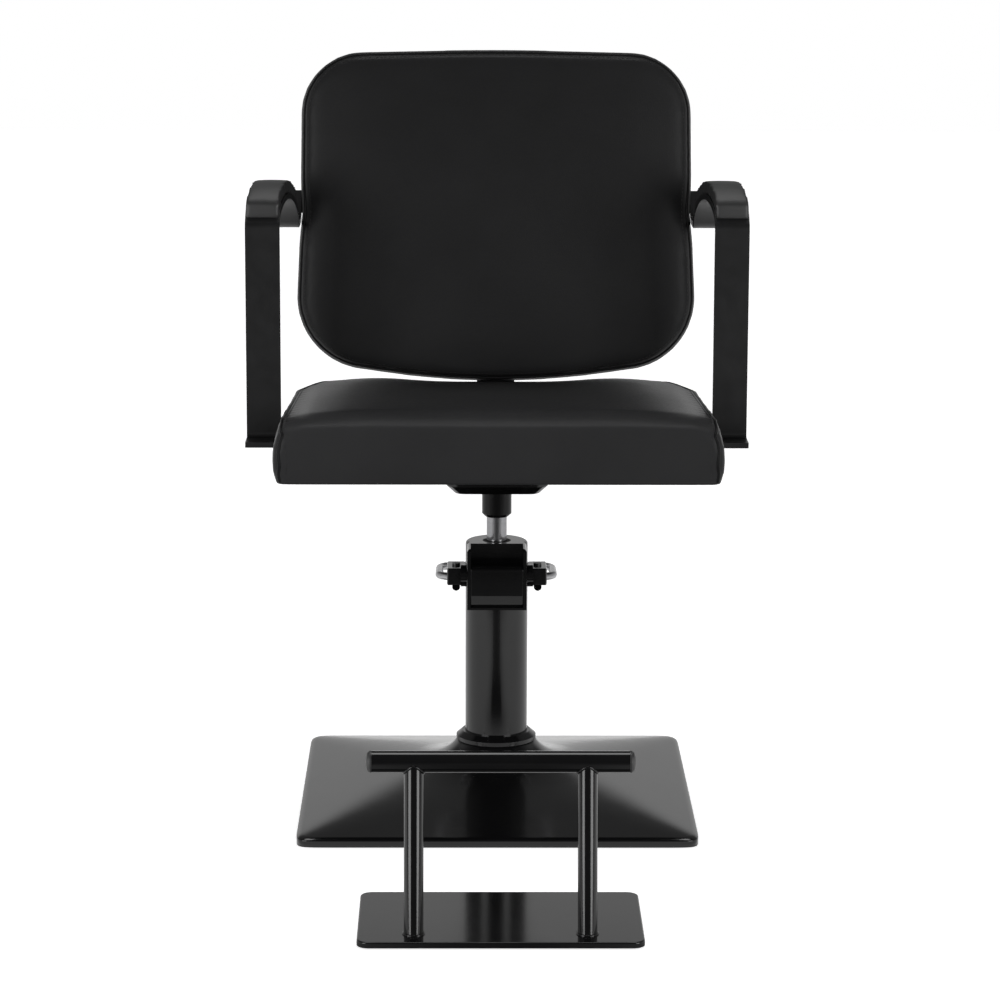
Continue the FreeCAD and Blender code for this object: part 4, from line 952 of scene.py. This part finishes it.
def make_back_cover():
    """Upholstered rear panel: flat behind, its edge turned in as a quarter round, and in
    front a lip that wraps the board's edge up to the cushion."""
    ring, normals = back_ring(6.0)
    near, far = BACK_COVER
    wall = BACK_BOARD_INSET - 0.5
    rows = [(BACK_MIDDLE_INSET, near + 0.1), (120.0, near + 0.1), (wall + 1.5, near + 0.1),
            (wall + 0.3, near + 0.1), (wall, near - 0.2), (wall, near - 3.0),
            (wall, BACK_LIP + 1.0), (wall - 0.3, BACK_LIP + 0.3), (wall - 1.2, BACK_LIP),
            (7.4, BACK_LIP), (6.0, BACK_LIP + 0.4), (5.2, BACK_LIP + 1.6),
            (5.0, BACK_LIP + 3.2), (5.0, near + 3.0), (5.2, far - 3.6), (6.2, far - 1.6),
            (8.4, far - 0.5), (11.5, far - 0.1), (30.0, far), (80.0, far), (150.0, far),
            (BACK_MIDDLE_INSET, far)]
    form = ring_rows(ring, normals, rows)
    panel = grid_piece("back_cover_panel", place_back(form))
    subdivided(panel)
    dressed(panel, back_leather, "seat", "black_upholstery", "back_cover")


# Arm pads

def pad_section(step=2.0):
    """The pad's cross section: a flat underside, upright sides, rounded upper edges, and a
    top that rises a little to its middle."""
    corners = [(-PAD_HALF, 0.0), (PAD_HALF, 0.0), (PAD_HALF * 0.985, PAD_THICK - 1.2),
               (0.0, PAD_THICK + 0.4), (-PAD_HALF * 0.985, PAD_THICK - 1.2)]
    places, _ = rounded_outline(corners, [1.2, 1.2, 6.0, 300.0, 6.0], step)
    return places


def make_arm_pads():
    """The section swept along the arch. In front every point is held behind one upright
    plane, which makes the blunt front face; at the rear the last sections shrink as a
    quarter ellipse."""
    section = pad_section()
    turn = np.radians(np.concatenate([[47.0, 46.0, 45.0], np.linspace(*PAD_TURNS, 60),
                                      [-43.0, -43.6, -44.0]]))
    trail = np.clip((turn + math.radians(PAD_TAIL[0])) / math.radians(PAD_TAIL[1]), 0, 1)
    close = 0.35 + 0.65 * np.sqrt(1 - (1 - trail) ** 2)
    height = section[None, :, 1] * close[:, None] + 0.15
    across = section[None, :, 0] * (0.9 + 0.1 * close[:, None])
    reach = BAND_TOP_RADIUS + height
    y = ARCH_CENTRE[0] - reach * np.sin(turn)[:, None]
    z = ARCH_CENTRE[1] + reach * np.cos(turn)[:, None]
    hidden = y < PAD_FRONT
    face_z = ARCH_CENTRE[1] + np.sqrt(reach ** 2 - (ARCH_CENTRE[0] - PAD_FRONT) ** 2)
    z = np.where(hidden, face_z, z)
    y = np.where(hidden, PAD_FRONT, y)
    nose = smooth_step(PAD_FRONT + 5.0, PAD_FRONT, y) * smooth_step(8.0, PAD_THICK, height)
    z = z - 2.2 * nose
    shift = np.clip((ARCH_CENTRE[0] - (BAND_TOP_RADIUS * np.sin(turn))[:, None] - ARM_TOE[0])
                    / (ARM_TOE[1] - ARM_TOE[0]), 0, 1)
    for side, name in ((1, "right"), (-1, "left")):
        x = side * (ARM_MIDDLES[0] + (ARM_MIDDLES[1] - ARM_MIDDLES[0]) * shift + across)
        pad = grid_piece(name + "_arm_pad_moulding", np.stack([x, y, z], -1))
        remeshed(pad, PAD_VOXEL)
        eased(pad, 3, 0.5)
        dressed(pad, pad_skin, "seat", "black_moulding", name + "_arm_pad")


# Base cover

def square_ring(half, power, angles):
    """A rounded square: in each direction the radius is half over the power's root of
    |cos|^power + |sin|^power. Power 2 is a circle, and a high power a sharp square."""
    c, s = np.abs(np.cos(angles)), np.abs(np.sin(angles))
    radius = half / (c ** power + s ** power) ** (1 / power)
    return np.stack([radius * np.cos(angles), radius * np.sin(angles)], -1)


def make_base_cover():
    """Pressed sheet: its profile rises from the rim in one smooth line to the crown, while
    its plan goes over from a square with small corners to the circle under the collar. The
    inner side is the same form, one sheet lower and further in."""
    halves, heights, powers = np.array(BASE_PROFILE).T
    run = np.concatenate([[0], np.cumsum(np.hypot(np.diff(halves), np.diff(heights)))])
    rise = np.linspace(0, run[-1], 60)
    half = smooth_through(run, halves, rise)
    height = smooth_through(run, heights, rise)
    power = np.interp(rise, run, powers)
    rim = [(BASE_HALF, BASE_FOOT), (BASE_HALF, BASE_RIM - 1.2), (BASE_HALF - 0.15, BASE_RIM - 0.5),
           (BASE_HALF - 0.6, BASE_RIM)]
    outer = [(a, z, powers[0]) for a, z in rim] + list(zip(half, height, power))
    inner = [(a - BASE_SHEET, z - BASE_SHEET * (z > BASE_RIM - 2), q) for a, z, q in outer]
    mouth = [(BASE_MOUTH, heights[-1], 2.0), (BASE_MOUTH, heights[-1] - BASE_SHEET, 2.0)]
    t = np.sin(np.linspace(-np.pi / 2, np.pi / 2, 73)[:-1])
    quarter = np.arctan(t)
    angles = np.concatenate([quarter + k * np.pi / 2 for k in range(4)])
    rows = [np.column_stack([square_ring(a, q, angles), np.full(len(angles), z)])
            for a, z, q in outer + mouth + inner[::-1]]
    cover = grid_piece("base_cover_sheet", np.array(rows), closed=True)
    dressed(cover, base_black, "base", "black_enamel", "base_cover")


# Pump cover

def make_front_cover():
    """Bent sheet between the pump's cheeks: one side profile with rounded bends, carried
    across. Its foot turns in by COVER_FOOT over COVER_KNEE. The end rows shrink along the
    profile's normals by 0.5 (1 - sin), a small round on the sheet's edges."""
    low, high = (np.array(corner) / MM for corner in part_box("front_cover"))
    front, bottom, rear, top = low[1], low[2], high[1], high[2]
    sheet, foot, knee = COVER_SHEET, front + COVER_FOOT, bottom + COVER_KNEE
    corners = [(foot, bottom), (foot + sheet, bottom), (front + sheet, knee),
               (front + sheet, top - sheet), (rear, top - sheet), (rear, top), (front, top),
               (front, knee)]
    places, normals = rounded_outline(corners, [0.5, 0.5, 4.0, 2.0, 0.5, 0.5, 4.5, 6.0], 0.8)
    turn = np.linspace(0, np.pi / 2, 5)
    edge = 0.5 * (1 - np.sin(turn))
    start = low[0] + 0.5 * (1 - np.cos(turn))
    x = np.concatenate([start, np.linspace(low[0] + 1, high[0] - 1, 24),
                        low[0] + high[0] - start[::-1]])
    shrink = np.concatenate([edge, np.zeros(24), edge[::-1]])
    side = places[None] - normals[None] * shrink[:, None, None]
    across = np.broadcast_to(x[:, None, None], side.shape[:2] + (1,))
    points = np.concatenate([across, side], 2).reshape(-1, 3) * MM
    rows, count = len(x), len(places)
    r, c = np.meshgrid(np.arange(rows - 1), np.arange(count), indexing="ij")
    d = (c + 1) % count
    quads = np.stack([r * count + c, r * count + count + c, r * count + count + d,
                      r * count + d], -1).reshape(-1, 4)
    ends = np.array([np.arange(count), (rows - 1) * count + np.arange(count)[::-1]])
    cover = mesh_piece("front_cover_sheet", points, [quads, ends])
    dressed(cover, gloss_black, "base", "black_enamel", "front_cover")


# Thread and welds

def stitches(name, path, length, gap, radius, closed=False):
    """Thread stitches along a path: each is a short six-sided rod, radius times the root of
    sin(pi (0.04 + 0.92 t)) thick along its length, so that it thins out at both ends. They
    repeat every length + gap."""
    path = np.asarray(path, float)
    if closed:
        path = np.vstack([path, path[:1]])
    run = np.concatenate([[0], np.cumsum(np.linalg.norm(np.diff(path, axis=0), axis=1))])
    count = int(run[-1] // (length + gap))
    start = np.arange(count) * run[-1] / count
    t = np.linspace(0, 1, 5)
    at = start[:, None] + t[None] * length
    middle = np.stack([np.interp(at, run, path[:, k]) for k in range(3)], -1)
    along = middle[:, -1] - middle[:, 0]
    along /= np.linalg.norm(along, axis=1)[:, None]
    across = np.cross(along, (0.21, 0.37, 0.9))
    across /= np.linalg.norm(across, axis=1)[:, None]
    over = np.cross(along, across)
    angle = np.linspace(0, 2 * np.pi, 6, endpoint=False)
    thick = radius * np.sqrt(np.sin(np.pi * (0.04 + 0.92 * t)))
    ring = (np.cos(angle)[None, None, :, None] * across[:, None, None]
            + np.sin(angle)[None, None, :, None] * over[:, None, None])
    points = (middle[:, :, None] + thick[None, :, None, None] * ring).reshape(-1, 3) * MM
    r, c = np.meshgrid(np.arange(4), np.arange(6), indexing="ij")
    d = (c + 1) % 6
    one = np.stack([r * 6 + c, r * 6 + 6 + c, r * 6 + 6 + d, r * 6 + d], -1).reshape(-1, 4)
    caps = np.array([[5, 4, 3, 2, 1, 0], [24, 25, 26, 27, 28, 29]])
    shift = (np.arange(count) * 30)[:, None, None]
    return mesh_piece(name, points, [(one[None] + shift).reshape(-1, 4),
                                     (caps[None] + shift).reshape(-1, 6)])


def weld_bead(name, path, radius):
    """A closed bead along the line where two parts meet: a tube whose radius ripples as
    0.92 + 0.16 |sin| along the line, as the welder's small overlapping pools do."""
    path = np.asarray(path, float)
    step = np.linalg.norm(np.roll(path, -1, 0) - path, axis=1)
    run = np.cumsum(step)
    ripple = radius * (0.92 + 0.16 * np.abs(np.sin(run * math.pi / WELD_STEP)))
    return tube_piece(name, path, ripple, 10, closed=True)


def upright_ring(side, height, radius):
    """The line round a leaning upright: a circle square to its axis, at a height up it."""
    turn = np.linspace(0, 2 * np.pi, 96, endpoint=False)
    c, s = math.cos(FOOTREST_LEAN), math.sin(FOOTREST_LEAN)
    across = radius * np.cos(turn)
    ahead = radius * np.sin(turn)
    along = height(ahead)
    return np.column_stack([side * UPRIGHT_X + across, UPRIGHT_FOOT_Y + along * s + ahead * c,
                            UPRIGHT_FOOT_Z + along * c - ahead * s])


def make_welds():
    """Beads where the uprights meet the floor plate and the crossbar. Below, the upright's
    circle is cut by the plate's level plane; above, by the bar's cylinder, of which the
    upper bead takes the lower side."""
    c, s = math.cos(FOOTREST_LEAN), math.sin(FOOTREST_LEAN)
    reach = UPRIGHT_RADIUS + WELD_OUT

    def plate_line(ahead):
        return (PLATE_TOP + WELD_OUT - UPRIGHT_FOOT_Z + ahead * s) / c

    def bar_line(ahead):
        return BAR_HEIGHT - np.sqrt(np.maximum((BAR_RADIUS + WELD_OUT) ** 2 - ahead ** 2, 0))

    for side, name in ((-1, "left"), (1, "right")):
        for line, where in ((plate_line, "foot"), (bar_line, "top")):
            path = upright_ring(side, line, reach)
            bead = weld_bead(name + "_" + where + "_weld", path, WELD_RADIUS)
            dressed(bead, satin_black, "footrest", "black_enamel")


# Studio

def send_mix(tree, share, first, second, output):
    """Shows the first shader where the share is 0 and the second where it is 1."""
    mix = node(tree, "ShaderNodeMixShader")
    tree.links.new(share, mix.inputs["Fac"])
    tree.links.new(first, mix.inputs[1])
    tree.links.new(second, mix.inputs[2])
    tree.links.new(mix.outputs["Shader"], output.inputs["Surface"])


def make_floor():
    """White to the camera, where it keeps the object's shadow, and to reflections near the
    object. Further off in front and in the middle in front, where the room is dark,
    reflections see a grey floor, as the light that the floor throws back does."""
    mesh = bpy.data.meshes.new("studio_floor")
    r = FLOOR_REACH
    mesh.from_pydata([(-r, -r, 0), (r, -r, 0), (r, r, 0), (-r, r, 0)], [], [(0, 1, 2, 3)])
    floor = bpy.data.objects.new("studio_floor", mesh)
    bpy.context.scene.collection.objects.link(floor)
    material, tree, shader = new_material("floor_white", (0.95, 0.95, 0.95), 0.8, specular=0.1)
    glow = node(tree, "ShaderNodeEmission", Strength=0.75)
    bright = node(tree, "ShaderNodeAddShader")
    tree.links.new(shader.outputs["BSDF"], bright.inputs[0])
    tree.links.new(glow.outputs["Emission"], bright.inputs[1])
    x, y, _ = axes(tree, object_place(tree))
    aside = comes_up(tree, maths(tree, "ABSOLUTE", x, 0.0), *FLOOR_ASIDE)
    lit = maths(tree, "MULTIPLY", comes_up(tree, y, *FLOOR_NEAR, FLOOR_NEAR_LEVEL),
                maths(tree, "MAXIMUM", aside, comes_up(tree, y, *FLOOR_BEHIND)))
    path = node(tree, "ShaderNodeLightPath").outputs
    sharp = maths(tree, "MAXIMUM", path["Is Glossy Ray"], path["Is Transmission Ray"])
    white = maths(tree, "MAXIMUM", path["Is Camera Ray"], maths(tree, "MULTIPLY", sharp, lit))
    dull = node(tree, "ShaderNodeBsdfDiffuse", Color=(0.16, 0.16, 0.16, 1))
    send_mix(tree, white, dull.outputs["BSDF"], bright.outputs["Shader"],
             tree.nodes["Material Output"])
    mesh.materials.append(material)


def make_world():
    """White for the camera. For light and reflections a studio by direction: the white
    background low behind, pale walls at the sides, a lamp overhead a little to the rear, and
    a dark room in front."""
    world = bpy.data.worlds.new("studio")
    bpy.context.scene.world = world
    world.use_nodes = True
    tree = world.node_tree
    tree.nodes.clear()

    def rise(value, limits, top=1.0):
        return comes_up(tree, value, *limits, top)

    def product(a, b):
        return maths(tree, "MULTIPLY", a, b)

    def total(a, b):
        return maths(tree, "ADD", a, b)

    x, y, z = axes(tree, node(tree, "ShaderNodeTexCoord").outputs["Generated"])
    down = product(z, -1.0)
    inward = product(maths(tree, "ABSOLUTE", x, 0.0), -1.0)
    behind = rise(y, REAR_SIDE)
    low = product(behind, total(rise(down, REAR_RISE, REAR_LEVEL),
                                rise(down, HORIZON, 1 - REAR_LEVEL)))
    low = total(low, product(behind, rise(down, HIGH_REAR_RISE, HIGH_REAR_LEVEL)))
    sides = product(rise(inward, SIDE_RISE, SIDE_LEVEL), rise(down, SIDE_TOP))
    above = product(rise(z, TOP_RISE, TOP_LEVEL),
                    product(rise(y, TOP_REAR), rise(inward, TOP_INWARD)))
    walls = maths(tree, "MAXIMUM", maths(tree, "MAXIMUM", sides, above), low)
    studio = node(tree, "ShaderNodeBackground", Color=(1, 1, 1, 1))
    tree.links.new(total(walls, DARK_LEVEL), studio.inputs["Strength"])
    white = node(tree, "ShaderNodeBackground", Color=(1, 1, 1, 1), Strength=1.0)
    path = node(tree, "ShaderNodeLightPath").outputs
    send_mix(tree, path["Is Camera Ray"], studio.outputs["Background"],
             white.outputs["Background"], node(tree, "ShaderNodeOutputWorld"))


def make_lamps():
    """A rectangular lamp on either side in front, aimed at the middle."""
    for side, name in ((-1, "left_lamp"), (1, "right_lamp")):
        data = bpy.data.lights.new(name, "AREA")
        data.shape = "RECTANGLE"
        data.size, data.size_y = LAMP_SIZE
        data.energy = LAMP_POWER
        lamp = bpy.data.objects.new(name, data)
        bpy.context.scene.collection.objects.link(lamp)
        lamp.location = (side * LAMP_PLACE[0], *LAMP_PLACE[1:])
        aim = Vector(LAMP_TARGET) - Vector(lamp.location)
        lamp.rotation_euler = aim.to_track_quat("-Z", "Y").to_euler()
        lamp.visible_camera = False


def make_camera():
    """The photograph's camera: a place in front, turned a little about the chair's upright
    axis, pitched down and rolled."""
    data = bpy.data.cameras.new("camera")
    data.sensor_width = FILM_WIDTH
    data.lens = FOCAL_PIXELS / PHOTO_PIXELS * FILM_WIDTH
    data.clip_end = 60.0
    camera = bpy.data.objects.new("camera", data)
    bpy.context.scene.collection.objects.link(camera)
    place = Vector((CAMERA_SIDE, -CAMERA_DISTANCE, CAMERA_HEIGHT))
    around = Euler((0, 0, CAMERA_ROUND)).to_quaternion()
    turn = Euler((math.pi / 2 - CAMERA_PITCH, 0, 0)).to_quaternion()
    roll = Euler((0, 0, CAMERA_ROLL)).to_quaternion()
    camera.location = around @ place
    camera.rotation_mode = "QUATERNION"
    camera.rotation_quaternion = around @ turn @ roll
    bpy.context.scene.camera = camera


def make_studio():
    """The stage, its light and its camera."""
    make_floor()
    make_world()
    make_lamps()
    make_camera()
    bpy.context.scene.view_settings.view_transform = "Standard"


dress_nodes()
make_seat()
make_back()
make_back_cover()
make_arm_pads()
make_base_cover()
make_front_cover()
make_welds()
make_studio()
